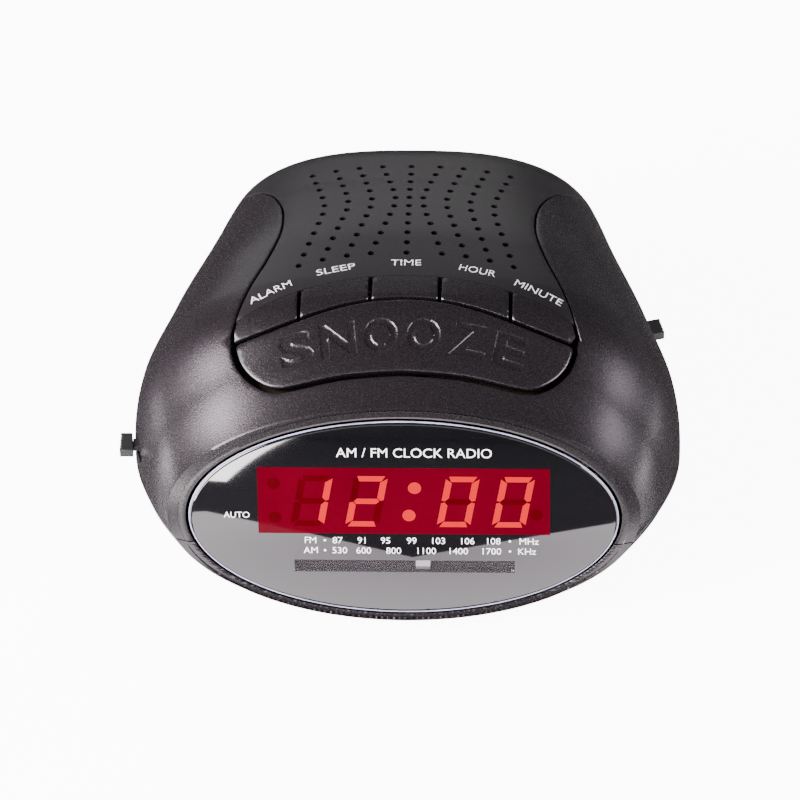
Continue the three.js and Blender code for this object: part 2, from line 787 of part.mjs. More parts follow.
piece("upper_housing", upperHousing(), plastic(CHARCOAL));
piece("top_panel", topPanel(), plastic(PANEL, 0.5));
piece("lower_housing", lowerHousing(), plastic(CHARCOAL));
piece("battery_door", batteryDoor(), plastic(CHARCOAL));
piece("display_lens", displayLens(), plastic(LENS_BLACK, 0.06), front);
const filter = block(-WINDOW.u, WINDOW.u, WINDOW.low, WINDOW.high, -2.4, -1.3);
piece("display_filter", filter, plastic(FILTER_RED, 0.1), front);
piece("led_display", block(-34, 34, -6.5, 14.3, -8.7, -2.7), plastic(CHIP, 0.4), front);
piece("display_board", block(-40, 40, -8, 17, -10.6, -9), plastic(BOARD_GREEN), front);

piece("snooze_key", snoozeKey(), plastic(CHARCOAL));
KEY_NAMES.forEach((name, i) => piece(name, functionKey(i), plastic(CHARCOAL)));
piece("key_board", block(-40, 40, 27, 52, KEY_BOARD_TOP - BOARD, KEY_BOARD_TOP), plastic(BOARD_TAN));
const switchPlaces = [[0, 35], ...KEY_NAMES.map((_, i) => keyCentre(i))];
["snooze_key", ...KEY_NAMES].forEach((name, i) => {
  const place = [...switchPlaces[i], KEY_BOARD_TOP + GAP];
  piece(name.replace("_key", "_switch"), tactSwitch(), plastic(CHIP, 0.4), radio, place);
});

const functionKnob = piece("function_slider_knob", sliderKnob(FUNCTION_SLIDER), plastic(CHARCOAL));
functionKnob.position.set(-FUNCTION_SLIDER.surface, FUNCTION_SLIDER.y, FUNCTION_SLIDER.z);
functionKnob.rotation.z = Math.PI;
const functionSwitch = piece("function_switch", slideSwitch(-5.7, 5.7, 3.2), metal(STEEL));
functionSwitch.position.copy(functionKnob.position);
functionSwitch.rotation.z = Math.PI;
const bandKnob = piece("band_slider_knob", sliderKnob(BAND_SLIDER), plastic(CHARCOAL));
bandKnob.position.set(BAND_SLIDER.surface, BAND_SLIDER.y, BAND_SLIDER.z);
bandKnob.rotation.z = BAND_SLIDER.turn;
const bandSwitch = piece("band_switch", slideSwitch(-1.7, 4.7, 3.2), metal(STEEL));
bandSwitch.position.copy(bandKnob.position);
bandSwitch.rotation.z = BAND_SLIDER.turn;

piece("volume_wheel", volumeWheel(), plastic(CHARCOAL), radio, [VOLUME.x, VOLUME.y, 0]);
piece("tuning_wheel", tuningWheel(), plastic(CHARCOAL), radio, [TUNING.x, TUNING.y, 0]);
piece("volume_potentiometer", potentiometer(), metal(STEEL), radio, [VOLUME.x, VOLUME.y, 0]);
piece("tuning_capacitor", tuningCapacitor(), plastic(WHITE, 0.4), radio, [TUNING.x, TUNING.y, 0]);
const leftBoard = [
  [-64, 27],
  [-40, 27],
  [-40, 74],
  [-56, 74],
  [-56, 50],
  [-64, 44],
];
const rightBoard = [
  [36, 48],
  [57, 48],
  [56, 66],
  [50, 84],
  [36, 84],
];
piece("left_control_board", prism(leftBoard, 24.9, 24.9 + BOARD), plastic(BOARD_TAN));
piece("right_control_board", prism(rightBoard, 33.4, 33.4 + BOARD), plastic(BOARD_TAN));

piece("dial_rail", dialRail(), plastic(CHIP), front);
piece("dial_pointer", dialPointer(), plastic(WHITE, 0.4), front);
piece("dial_pulley_left", dialPulley(), plastic(WHITE, 0.4), front, [-PULLEY.u, PULLEY.v, 0]);
piece("dial_pulley_right", dialPulley(), plastic(WHITE, 0.4), front, [PULLEY.u, PULLEY.v, 0]);
piece("dial_cord", dialCord(), plastic(WHITE, 0.8));

piece("speaker_basket", speakerBasket(), metal(STEEL), speaker);
piece("speaker_cone", speakerCone(), plastic(PAPER, 0.9), speaker);
piece("speaker_magnet", speakerMagnet(), metal(FERRITE, 0.5), speaker);

piece("main_board", block(-38, 38, 20, 74, 8.4, 8.4 + BOARD), plastic(BOARD_GREEN));
piece("transformer_core", transformerCore(), metal(STEEL, 0.5), radio, [-13, 58, 10.3]);
piece("transformer_coil", transformerCoil(), plastic(COPPER, 0.4), radio, [-13, 58, 10.3]);
piece("clock_chip", block(-18, 18, 24, 37, 10.3, 14.2), plastic(CHIP));
piece("radio_chip", block(9, 29, 49, 55.5, 10.3, 13.8), plastic(CHIP));
piece("filter_capacitor", post(18, 66, 6, 10.3, 32, 20), plastic(0x23304a, 0.35));
piece("display_ribbon", displayRibbon(), plastic(0x8d8f93, 0.5));
piece("ferrite_holder", ferriteHolder(), plastic(CHIP));
piece(
  "ferrite_rod",
  new THREE.CylinderGeometry(4, 4, 66, 16).rotateZ(Math.PI / 2).translate(0, 103, 34),
  plastic(FERRITE, 0.8),
);
const coilProfile = [
  [4.3, -9],
  [5.8, -9],
  [5.8, 9],
  [4.3, 9],
];
const coil = turnedRing(coilProfile, 18).rotateY(Math.PI / 2).translate(-6, 103, 34);
piece("ferrite_coil", coil, plastic(COPPER, 0.5));
piece("battery_contacts", batteryContacts(), metal(BRASS));
piece("cord_gland", cordGland(), plastic(RUBBER, 0.8), radio, [GLAND.x, CASE_LENGTH, GLAND.z]);
FEET.forEach(([name, x, y]) =>
  piece(`foot_${name}`, post(x, y, FOOT.radius, 0, FOOT.height, 14), plastic(RUBBER, 0.9)),
);
SCREWS.forEach(([name, x, y]) =>
  piece(`screw_${name}`, caseScrew(), metal(STEEL), radio, [x, y, SCREW.seat - GAP]),
);

// The finished part: its origin is the centre of its box, at the bottom of the feet.
const group = new THREE.Group();
group.add(radio);
const box = new THREE.Box3().setFromObject(radio);
const middle = box.getCenter(new THREE.Vector3());
radio.position.set(-middle.x, -middle.y, -box.min.z);

export default group;
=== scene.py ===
"""Clock radio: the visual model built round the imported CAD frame.

Shapes are worked out in the case's own millimetres: x = 0 is the mid-plane, y = 0 the foot of the
front ring, z = 0 the table. CASE_ORIGIN carries them into the frame, which is in metres.
The case's skin is drawn unrolled: `across` runs round it from the top's middle line, and `along`
runs from the front ring to the rear edge.
"""

import math

import bpy
import numpy as np
from mathutils import Matrix, Vector
from mathutils.geometry import delaunay_2d_cdt


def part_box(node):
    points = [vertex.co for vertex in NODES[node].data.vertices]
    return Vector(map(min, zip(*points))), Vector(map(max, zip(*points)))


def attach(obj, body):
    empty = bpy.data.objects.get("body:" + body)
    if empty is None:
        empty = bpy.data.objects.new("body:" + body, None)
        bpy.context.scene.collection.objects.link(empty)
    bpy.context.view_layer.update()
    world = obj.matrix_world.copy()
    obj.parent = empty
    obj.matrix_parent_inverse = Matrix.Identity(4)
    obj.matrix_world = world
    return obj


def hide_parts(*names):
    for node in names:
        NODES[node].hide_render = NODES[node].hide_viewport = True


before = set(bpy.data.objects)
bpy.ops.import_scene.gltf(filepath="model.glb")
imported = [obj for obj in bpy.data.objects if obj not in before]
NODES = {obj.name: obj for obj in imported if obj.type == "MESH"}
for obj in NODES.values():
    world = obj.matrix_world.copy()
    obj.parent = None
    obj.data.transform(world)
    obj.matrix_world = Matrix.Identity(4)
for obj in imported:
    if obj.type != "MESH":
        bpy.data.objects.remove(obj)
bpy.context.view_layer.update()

# ---------------------------------------------------------------- driving dimensions, millimetres

MM = 0.001

LENGTH = 121.0
REAR_RADIUS = 12.0
STRAIGHT = LENGTH - REAR_RADIUS
WALL = 2.0
BASE_Z = 3.0
PARTING_Z = 24.5
PARTING_GAP = 0.3
TILT = math.radians(17.5)
UPRIGHT_AT = 0.8
RING_Z = 31.7
RING_EXPONENT = 2.0
BODY_EXPONENT = 2.7
BASE_INSET_LIMIT = 6.0

# Case sections: share of the length, half width, height of the top.
STATIONS = (
    (0.0, 59.2, 60.4), (0.12, 64.8, 66.4), (0.28, 69.4, 71.4), (0.5, 63.4, 70.4),
    (0.72, 55.6, 66.4), (0.9, 49.2, 60.8), (1.0, 44.0, 56.4),
)

# The unrolled skin.
GIRTH_RADIUS = 60.0
REAR_EDGE = STRAIGHT + REAR_RADIUS * math.pi / 2

# Front ring, lens and window, in the front plane: u right, v up the plane, w out of it.
RING_INNER = {"u": 54.6, "v": 28.0, "centre": -0.4, "w": 1.2}
RING_FACE = 5.0
RING_LIP = 2.4
LENS = {"u": 53.6, "v": 27.2, "centre": -0.6, "back": -1.0, "edge": 1.0, "crown": 2.4}
WINDOW = {"left": -36.3, "right": 36.6, "low": -5.1, "high": 13.7}
SLOT = {"left": -27.5, "right": 27.8, "low": -16.1, "high": -12.7}

# Groove between the side arms and the top panel: half width, place along the case.
GROOVE = (
    (43.6, 40.0), (41.3, 48.0), (38.6, 55.5), (35.4, 63.5), (32.9, 72.0), (32.2, 79.0),
    (33.0, 87.5), (36.0, 96.0), (40.6, 102.3), (46.0, 106.0), (56.0, 108.4), (75.0, 109.5),
)
GROOVE_GAP = 0.3
GROOVE_ROUND = 0.5

# Keys.
SNOOZE_FRONT = (
    (0.0, 27.1), (15.0, 26.4), (27.0, 25.1), (32.6, 25.4),
    (37.2, 28.2), (40.4, 32.0), (41.9, 35.6), (42.2, 37.2),
)
SNOOZE_GAP = 1.3
SNOOZE_REAR = {"y": 37.6, "rise": 8.4, "half": 48.0}
KEY_REAR = {"y": 53.9, "bow": 0.006}
KEY_GAP = 0.9
KEY_SPLITS = (-26.5, -8.7, 8.7, 26.5)
KEY_NAMES = ("alarm", "sleep", "time", "hour", "minute")
HINGE_GAP = 0.1

# Speaker grille: bowed columns of holes. The outer columns sit further forward.
GRILLE_SIDE = 4
GRILLE_ROWS = 11
GRILLE_Y = 103.0
GRILLE_PITCH = 4.04
HOLE_RADIUS = 0.85
HOLE_SIDES = 14
COLUMN = {"first": 3.5, "step": 6.03, "vertex": 4.3, "slope": 1.12, "round": 1.0}
COLUMN_DROP = {"first": 0.125, "row": 0.01}

# Softened edges, engraving, and the lift of printed marks over a surface.
ENGRAVING = 0.3
ENGRAVING_SLOPE = 0.25
KEY_ROUND = 0.35
SNOOZE_ROUND = 0.55
DOOR_ROUND = 0.4
PARTING_ROUND = 0.3
LENS_ROUND = 0.8
DECAL_LIFT = 0.03
LABEL_LIFT = 0.05
CREASE_ANGLE = 35
KNOB_EDGE = 0.1
CAD_EDGE = 0.12

# How far marks move up the lens for each millimetre of its crown.
CROWN_SHIFT = 0.54

# Letters of the snooze bar: place across and width. Their line bows forward towards the sides.
SNOOZE_LETTERS = (
    ("S", -26.7, 8.4), ("N", -16.4, 9.1), ("O", -5.7, 8.6),
    ("O", 5.0, 8.6), ("Z", 16.4, 9.5), ("E", 26.4, 7.9),
)
SNOOZE_LETTER_Y = 36.1
SNOOZE_LETTER_BOW = 0.0036
SNOOZE_CAP = 7.9
SNOOZE_WEIGHT = 0.045

# Height of a capital in the default font, as a share of the type size.
CAP_SHARE = 0.729

# Underside: battery bay, screw recesses, foot pads. Sides: slots for the wheels and the sliders.
BAY = {"x": 25.8, "front": 78.8, "rear": 107.2, "low": 3.4, "roof": 22.6}
DOOR_GAP = 0.4
DOOR_RIBS = {"half": 6, "count": 4, "pitch": 1.8, "width": 1, "behind": 3}
SCREWS = ((-50, 18), (50, 18), (-45, 96), (45, 96))
SCREW_RADIUS = 3.5
SCREW_SEAT = 14.0
FEET = ((-40, 24), (40, 24), (-33, 99), (33, 99))
PAD = {"radius": 6.2, "top": 6.0, "low": 2.2}
WHEEL_SLOT = {"y": 62.0, "z": 16, "half": 14.4, "half_height": 2.6}
FUNCTION_SLOT = {"y": 34, "z": 30, "front": -5.6, "rear": 5.6}
BAND_SLOT = {"y": 67, "z": 39, "front": -1.6, "rear": 4.6}
SLIDER_SLOT_HALF = 1.0

# Digits: centre of each across, and its lit segments by their usual letters. Round marks: (u, v).
DIGIT = {"half_width": 4.2, "half_height": 7.2, "stroke": 1.7, "gap": 0.17, "slant": 0.18, "v": 4.2}
DIGITS = ((-22.8, "bc"), (-9.1, "abdeg"), (13.75, "abcdef"), (27.5, "abcdef"))
COLON = ((2.9, 8.05), (1.45, 0.25))
COLON_RADIUS = 1.65
UNLIT_DOTS = ((-32.2, 9.1), (-32.0, -0.6), (33.2, 0.6))
UNLIT_RADIUS = 1.55

# Lens edge bead, dial and lettering: text, place across and, where it is fitted, width.
RIM_BEAD = {"out": 0.0, "radius": 0.22, "w": 0.55}
DIAL_ROWS = (
    (-7.0, (("FM", -23.3), ("87", -16.5), ("91", -10.5), ("95", -4.5), ("99", 2.05), ("103", 8.8),
             ("106", 16.1), ("108", 22.6), ("MHz", 31.4))),
    (-9.9, (("AM", -23.3), ("530", -16.0), ("600", -10.0), ("800", -2.5), ("1100", 5.8), ("1400", 13.8),
              ("1700", 22.1), ("KHz", 30.9))),
)
DIAL_DOTS = (-19.7, 26.6)
DIAL_CAP = 1.9
TITLE = {"text": "AM / FM CLOCK RADIO", "u": 2.8, "v": 18.0, "cap": 2.7, "width": 38.7}
MODE = {"text": "AUTO", "u": -41.7, "v": 0.1, "cap": 1.75, "width": 6.5}
KEY_LABELS = (("ALARM", -33.9, 11.2), ("SLEEP", -17.6, 9.9), ("TIME", 0.0, 7.6), ("HOUR", 18.0, 9.3),
              ("MINUTE", 33.4, 12.6))
LABEL_ARC = {"y": 58.7, "bow": 0.007}
LABEL_CAP = 2.35

# Side slider knobs. Lean slants the knob's inner face along the case.
KNOB = {"half_height": 1.3, "rib": 1.0, "rib_depth": 0.4, "clear": 0.1, "stem": 1.45, "stem_height": 0.8}
SLIDERS = {
    "function": {"place": (-69.4, 34.0, 30.0), "reach": 3.3, "half": 3.0, "turn": 0.0, "lean": 0.1},
    "band": {"place": (61.4, 67.0, 39.0), "reach": 3.4, "half": 2.5, "turn": 0.27, "lean": 0.0},
}

# Camera and stage, in the case's millimetres. Card outlines lie just over the floor.
CAMERA = {"azimuth": 2.977, "elevation": 45.76, "roll": 1.758, "distance": 1300.3, "lens": 234.03}
LOOK_AT = (-1.09, 29.88, 51.19)
FLOOR_WHITE = (0.8, 0.79, 0.78)
FLOOR_GLOW = 10.0
FLOOR_HALF = 2500
FAR = 2400
DARK_FLOOR = ((-FAR, -FAR), (FAR, -FAR), (FAR, FAR), (-FAR, FAR))
FRONT_CARD = ((-80, -10), (80, -10), (105, -80), (70, -130), (0, -65), (-75, -150), (-110, -110))
FRONT_CARD_GLOW = (1.1, 3.5)
SIDE_CARDS = (
    ("upper_left_card", ((-90, -300), (-270, -2300), (-FAR, -2300), (-FAR, -900)), 30.0),
    ("left_floor_card", ((-85, 20), (-100, -10), (-230, -60), (-900, -350), (-900, 220)), 24.0),
    ("right_floor_card", ((85, 20), (900, 220), (900, -350), (230, -60), (100, -10)), 11.0),
)
FAR_CARD = {"y": -2300, "outline": ((-FAR, 0), (FAR, 0), (FAR, 600), (-FAR, 600))}
CARD_HEART = (0.0, -75.0, 0.6)
CARD_REACH = 75.0
WORLD_GLOW = 0.2
LIGHT_AIM = (0, 45, 45)

# Lights: name, place, width and height, watts, colour.
SOFTBOXES = (
    ("softbox_left", (-590, -215, 310), (430, 620), 32.0, (1.0, 0.88, 0.95)),
    ("softbox_right", (630, -150, 250), (360, 440), 7.0, (1.0, 0.88, 1.0)),
    ("softbox_front", (-100, -1500, 500), (1600, 800), 4.0, (1, 1, 1)),
    ("softbox_rear", (-300, 1500, 700), (1500, 900), 4.0, (1, 1, 1)),
)

# Places that the pieces take from the CAD.
front_left, front_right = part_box("foot_front_left"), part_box("foot_front_right")
FOOT_Y = 24.0
CASE_ORIGIN = Vector(
    (
        (front_left[0].x + front_right[1].x) / 2,
        (front_left[0].y + front_left[1].y) / 2 - FOOT_Y * MM,
        front_left[0].z,
    )
)


def case_place(x, y, z):
    """Frame place, in metres, of a case place in millimetres."""
    return Vector((x, y, z)) * MM + CASE_ORIGIN


def placed(points):
    """Frame places of many case places."""
    return np.array(points) * MM + np.array(CASE_ORIGIN)


def new_mesh(name, points, faces):
    mesh = bpy.data.meshes.new(name)
    mesh.from_pydata([tuple(p) for p in points], [], [tuple(map(int, face)) for face in faces])
    mesh.update()
    return mesh


def linked(name, data):
    item = bpy.data.objects.new(name, data)
    bpy.context.scene.collection.objects.link(item)
    return item


def add_piece(name, mesh, body, replaced, material):
    """Makes a mesh a piece of the radio that rides on a body."""
    mesh.materials.append(material)
    piece = linked(name, mesh)
    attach(piece, body)
    if replaced:
        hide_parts(*replaced)
    return piece


# ---------------------------------------------------------------- the case's skin


def station_curve(column):
    """A smooth curve through one column of STATIONS that never overshoots its points."""
    at = np.array([row[0] for row in STATIONS])
    value = np.array([row[column] for row in STATIONS])
    step = np.diff(at)
    rise = np.diff(value) / step
    slope = np.zeros(len(at))
    slope[0], slope[-1] = rise[0], rise[-1]
    for i in range(1, len(at) - 1):
        before, after = rise[i - 1], rise[i]
        if before * after > 0:
            w1 = 2 * step[i] + step[i - 1]
            w2 = step[i] + 2 * step[i - 1]
            slope[i] = (w1 + w2) / (w1 / before + w2 / after)

    def curve(share):
        i = np.clip(np.searchsorted(at, share) - 1, 0, len(step) - 1)
        t = (share - at[i]) / step[i]
        ends = (2 * t**3 - 3 * t**2 + 1) * value[i] + (3 * t**2 - 2 * t**3) * value[i + 1]
        bends = (t**3 - 2 * t**2 + t) * slope[i] + (t**3 - t**2) * slope[i + 1]
        return ends + step[i] * bends

    return curve


half_width_at = station_curve(1)
top_at = station_curve(2)


def front_point(u, v, w):
    """Case place of a point of the front plane."""
    y = (RING_Z - BASE_Z) * math.tan(TILT) + v * math.sin(TILT) - w * math.cos(TILT)
    z = RING_Z + v * math.cos(TILT) + w * math.sin(TILT)
    return np.stack([u, y, z], axis=-1)


def skin(places):
    """Case places of unrolled places (across, along). Negative `along` runs in over the front ring."""
    across, along = places[..., 0], places[..., 1]
    angle = math.pi / 2 - across / GIRTH_RADIUS
    turn = np.clip((along - STRAIGHT) / REAR_RADIUS, 0, math.pi / 2)
    reach = np.clip(along, 0, STRAIGHT) + REAR_RADIUS * np.sin(turn)
    inset = REAR_RADIUS * (1 - np.cos(turn))
    share = reach / LENGTH
    bottom = BASE_Z + np.minimum(inset, BASE_INSET_LIMIT)
    blend = (1 - np.clip(share / 0.3, 0, 1)) ** 2
    widest = PARTING_Z + (RING_Z - PARTING_Z) * blend
    exponent = RING_EXPONENT + (BODY_EXPONENT - RING_EXPONENT) * np.minimum(1, share / 0.35)
    c, s = np.cos(angle), np.sin(angle)
    radius = (np.abs(c) ** exponent + np.abs(s) ** exponent) ** (-1 / exponent)
    height = np.where(s > 0, top_at(share) - inset - widest, widest - bottom)
    x = (half_width_at(share) - inset) * c * radius
    z = widest + height * s * radius
    lean = TILT * np.maximum(0, 1 - share / UPRIGHT_AT)
    body = np.stack([x, reach + (z - BASE_Z) * np.tan(lean), z], axis=-1)

    ring_u, ring_v = RING_INNER["u"] * c, RING_INNER["centre"] + RING_INNER["v"] * s
    inward = np.clip(-along / RING_FACE, 0, 1)
    sink = np.maximum(-along - RING_FACE, 0)
    lip_round = 0.4 * np.clip((-along - RING_FACE + 0.8) / 0.8, 0, 1) ** 2
    inner = front_point(ring_u, ring_v, RING_INNER["w"] - sink)
    face = body + (inner - body) * inward[..., None]
    out = front_point(0 * c, 0 * c, 1.0) - front_point(0 * c, 0 * c, 0.0)
    face = face - out * lip_round[..., None]
    return np.where((along < 0)[..., None], face, body)


def skin_normal(places):
    """Outward normals of the skin, looked at just inside each place's own stretch."""
    step = 0.02
    side = np.where(places[..., 1] < 0, -step, step)
    side = np.where(places[..., 1] > REAR_EDGE - 2 * step, -step, side)
    here = skin(places)
    right = skin(places + np.stack([0 * side + step, 0 * side], axis=-1)) - here
    back = (skin(places + np.stack([0 * side, side], axis=-1)) - here) * np.sign(side)[..., None]
    normal = np.cross(right, back)
    return normal / np.linalg.norm(normal, axis=-1, keepdims=True)


def locate(targets, axes=(0, 1), start=None):
    """Unrolled places of the skin points whose two named coordinates are the targets."""
    targets = np.array(targets, float)
    places = targets - (0, 12) if start is None else np.array(start, float) + 0 * targets
    step = 0.01
    for _ in range(25):
        here = skin(places)[:, axes]
        du = (skin(places + (step, 0))[:, axes] - here) / step
        dv = (skin(places + (0, step))[:, axes] - here) / step
        miss = targets - here
        det = du[:, 0] * dv[:, 1] - du[:, 1] * dv[:, 0]
        move_u = (miss[:, 0] * dv[:, 1] - miss[:, 1] * dv[:, 0]) / det
        move_v = (du[:, 0] * miss[:, 1] - du[:, 1] * miss[:, 0]) / det
        places = places + np.clip(np.stack([move_u, move_v], axis=1), -4, 4)
    return places


def halving(low, high, too_low, rounds=40):
    """The values between low and high where too_low turns false."""
    for _ in range(rounds):
        middle = (low + high) / 2
        short = too_low(middle)
        low, high = np.where(short, middle, low), np.where(short, high, middle)
    return (low + high) / 2


def level(along, z):
    """How far across the skin is at height z, on the right side."""
    along = np.atleast_1d(np.array(along, float))
    reach = np.full(len(along), math.pi * GIRTH_RADIUS)
    return halving(0 * reach, reach, lambda a: skin(np.stack([a, along], 1))[:, 2] > z)


# ---------------------------------------------------------------- outlines


def spline(points, count=160):
    """A smooth line through points, evenly sampled in its own parameter."""
    p = np.array(points, float)
    t = np.linspace(0, len(p) - 1, count)
    i = np.minimum(t.astype(int), len(p) - 2)
    f = (t - i)[:, None]
    before, after = p[np.maximum(i - 1, 0)], p[np.minimum(i + 2, len(p) - 1)]
    v0, v1 = (p[i + 1] - before) / 2, (after - p[i]) / 2
    return (
        (2 * p[i] - 2 * p[i + 1] + v0 + v1) * f**3
        + (-3 * p[i] + 3 * p[i + 1] - 2 * v0 - v1) * f**2
        + v0 * f
        + p[i]
    )


def shifted(line, distance):
    """An open line moved to its left by distance."""
    way = np.gradient(line, axis=0)
    way /= np.linalg.norm(way, axis=1, keepdims=True)
    return line + distance * np.stack([-way[:, 1], way[:, 0]], axis=1)


def even(line, spacing):
    """An open line resampled with even steps of about spacing."""
    steps = np.linalg.norm(np.diff(line, axis=0), axis=1)
    length = np.concatenate([[0], np.cumsum(steps)])
    count = max(2, int(round(length[-1] / spacing)) + 1)
    at = np.linspace(0, length[-1], count)
    return np.stack([np.interp(at, length, line[:, k]) for k in (0, 1)], axis=1)


def mirrored(line):
    """The other side of the case, listed the other way round."""
    return (line * (-1, 1))[::-1]


def both_sides(line, radius):
    """A softened line and its mirror image, for skin_patch."""
    return [(line, radius), (mirrored(line), radius)]


def snooze_rear_y(x):
    wave = np.cos(math.pi * x / (2 * SNOOZE_REAR["half"])) ** 2
    return SNOOZE_REAR["y"] + SNOOZE_REAR["rise"] * wave


def key_rear_y(x):
    return KEY_REAR["y"] - KEY_REAR["bow"] * x**2


def groove_line():
    """The right groove in the unrolled skin, from the parting line at the side forward to the keys."""
    plan = spline(GROOVE, 400)
    ahead = plan[plan[:, 1] < 88]
    front = locate(ahead[::-1])
    beyond = plan[plan[:, 1] > 80]
    end = 105.0
    for _ in range(8):
        across = np.linspace(level(end, PARTING_Z)[0], front[0, 0], 90)

        def too_far_forward(along):
            points = skin(np.stack([across, along], axis=1))
            return points[:, 1] < np.interp(points[:, 0], beyond[:, 0], beyond[:, 1])

        along = halving(0 * across + 60, 0 * across + REAR_EDGE, too_far_forward)
        end = along[0]
    return np.concatenate([np.stack([across, along], axis=1)[:-1], front])


GROOVE_LINE = groove_line()


def closed_edges(count, start=0):
    return [(start + i, start + (i + 1) % count) for i in range(count)]


# ---------------------------------------------------------------- meshes of skin patches


def segments_of(loops):
    """Every edge of closed loops as an array of end points."""
    return np.concatenate([np.stack([loop, np.roll(loop, -1, axis=0)], axis=1) for loop in loops])


def inside(points, segments):
    """Which points lie inside closed outlines, given as edges in any order."""
    result = np.zeros(len(points), bool)
    (x0, y0), (x1, y1) = segments[:, 0].T, segments[:, 1].T
    safe = np.where(y1 == y0, 1, y1 - y0)
    for first in range(0, len(points), 2000):
        x, y = points[first : first + 2000, :1], points[first : first + 2000, 1:]
        spans = (y0 > y) != (y1 > y)
        right_of = x < (x1 - x0) * (y - y0) / safe + x0
        result[first : first + 2000] = (spans & right_of).sum(axis=1) % 2 == 1
    return result


def distance(points, segments):
    """Distance from each point to the nearest edge."""
    result = np.zeros(len(points))
    start, way = segments[:, 0], segments[:, 1] - segments[:, 0]
    square = np.maximum((way**2).sum(axis=1), 1e-12)
    for first in range(0, len(points), 1000):
        gap = points[first : first + 1000, None] - start
        t = np.clip((gap * way).sum(axis=2) / square, 0, 1)
        result[first : first + 1000] = np.sqrt(
            ((gap - t[..., None] * way) ** 2).sum(axis=2).min(axis=1)
        )
    return result


def open_segments(line):
    return np.stack([line[:-1], line[1:]], axis=1)


def hex_grid(low, high, spacing):
    rows = np.arange(low[1], high[1], spacing * math.sqrt(0.75))
    points = []
    for i, y in enumerate(rows):
        x = np.arange(low[0] + (i % 2) * spacing / 2, high[0], spacing)
        points.append(np.stack([x, 0 * x + y], axis=1))
    return np.concatenate(points)


def triangulate(loops, rounded=(), spacing=1.3, engraved=None, creases=()):
    """Triangles over closed loops, the first of which is the outline and the others its holes."""
    outline = segments_of(loops)
    corners = [np.concatenate(loops)]
    edges, start = [], 0
    for loop in loops:
        edges += closed_edges(len(loop), start)
        start += len(loop)
    for line in creases:
        corners.append(line)
        edges += [(start + i, start + i + 1) for i in range(len(line) - 1)]
        start += len(line)
    clear = outline
    if engraved is not None:
        corners.append(engraved.reshape(-1, 2))
        edges += [(start + 2 * i, start + 2 * i + 1) for i in range(len(engraved))]
        clear = np.concatenate([outline, engraved])
    free = []
    for line, radius in rounded:
        for share in (0.12, 0.35, 0.65, 1.0):
            for side in (-1, 1):
                free.append((shifted(line, side * share * radius), 0.8 * share * radius))
    low, high = corners[0].min(axis=0), corners[0].max(axis=0)
    free.append((hex_grid(low, high, spacing), 0.5 * spacing))
    if engraved is not None:
        fine = hex_grid(engraved.min(axis=(0, 1)) - 1, engraved.max(axis=(0, 1)) + 1, 0.5)
        free.append((fine, 0.13))
    kept = []
    for points, margin in free:
        points = points[inside(points, outline)]
        kept.append(points[distance(points, clear) > margin])
    coords = np.concatenate(corners + kept)
    found = delaunay_2d_cdt([Vector(p) for p in coords], edges, [], 0, 1e-5)
    verts = np.array([v[:] for v in found[0]])
    faces = np.array(found[2])
    faces = faces[inside(verts[faces].mean(axis=1), outline)]
    used, faces = np.unique(faces, return_inverse=True)
    return verts[used], faces.reshape(-1, 3)


def rounding(depth_in, radius):
    """How far a rounded edge has dropped at a distance in from it."""
    rest = np.clip(radius - depth_in, 0, radius)
    return radius - np.sqrt(np.maximum(radius**2 - rest**2, 0))


def thick_mesh(name, outer, inner, faces, extra=()):
    """A closed mesh between two copies of the same triangles. Extra holds further outer polygons."""
    count = len(outer)
    polygons = [tuple(f) for f in faces] + [tuple(f) for f in extra]
    seen = {}
    for polygon in polygons:
        for a, b in zip(polygon, polygon[1:] + polygon[:1]):
            seen[(a, b)] = seen.get((a, b), 0) + 1
    rims = [(b, a, a + count, b + count) for a, b in seen if (b, a) not in seen]
    backs = [tuple(i + count for i in reversed(p)) for p in polygons]
    return new_mesh(name, placed(np.concatenate([outer, inner])), polygons + backs + rims)


def smooth(mesh, sharp=CREASE_ANGLE):
    """Smooth shading, with creases where faces meet at more than the angle in degrees."""
    mesh.polygons.foreach_set("use_smooth", [True] * len(mesh.polygons))
    mesh.set_sharp_from_angle(angle=math.radians(sharp))


def finish_object(name, mesh, body, replaced, material, sharp=CREASE_ANGLE):
    """Shades a finished mesh and makes it a piece of the radio."""
    smooth(mesh, sharp)
    return add_piece(name, mesh, body, replaced, material)


def skin_patch(name, loops, rounded=(), spacing=1.3, engraved=None, thickness=WALL, cap=False, creases=()):
    """A mesh of the skin inside loops. Rounded lists (line, radius) of its softened edges."""
    places, faces = triangulate(loops, rounded, spacing, engraved, creases)
    drop = np.zeros(len(places))
    for line, radius in rounded:
        drop = np.maximum(drop, rounding(distance(places, open_segments(line)), radius))
    if engraved is not None:
        depth_in = distance(places, engraved)
        sunk = inside(places, engraved) & (depth_in > 1e-4)
        drop = drop + np.where(sunk, ENGRAVING * np.clip(depth_in / ENGRAVING_SLOPE, 0, 1), 0)
    normal = skin_normal(places)
    outer = skin(places) - normal * drop[:, None]
    inner = outer - normal * thickness
    extra = []
    if cap:
        row = np.where(places[:, 1] > REAR_EDGE - 0.01)[0]
        extra = [row[np.argsort(places[row, 0])].tolist()]
    return thick_mesh(name, outer, inner, faces, extra)


# ---------------------------------------------------------------- the front plane


def lens_height(u, v):
    """Height of the lens face over the front plane."""
    rim_u, rim_v = u / LENS["u"], (v - LENS["centre"]) / LENS["v"]
    share = np.sqrt(rim_u**2 + rim_v**2)
    reach = np.sqrt(u**2 + (v - LENS["centre"]) ** 2)
    depth_in = np.where(share > 0.5, reach * (1 / np.maximum(share, 0.5) - 1), LENS_ROUND)
    crown = (LENS["crown"] - LENS["edge"]) * (1 - share**2)
    return LENS["edge"] + crown - rounding(np.maximum(depth_in, 0), LENS_ROUND)


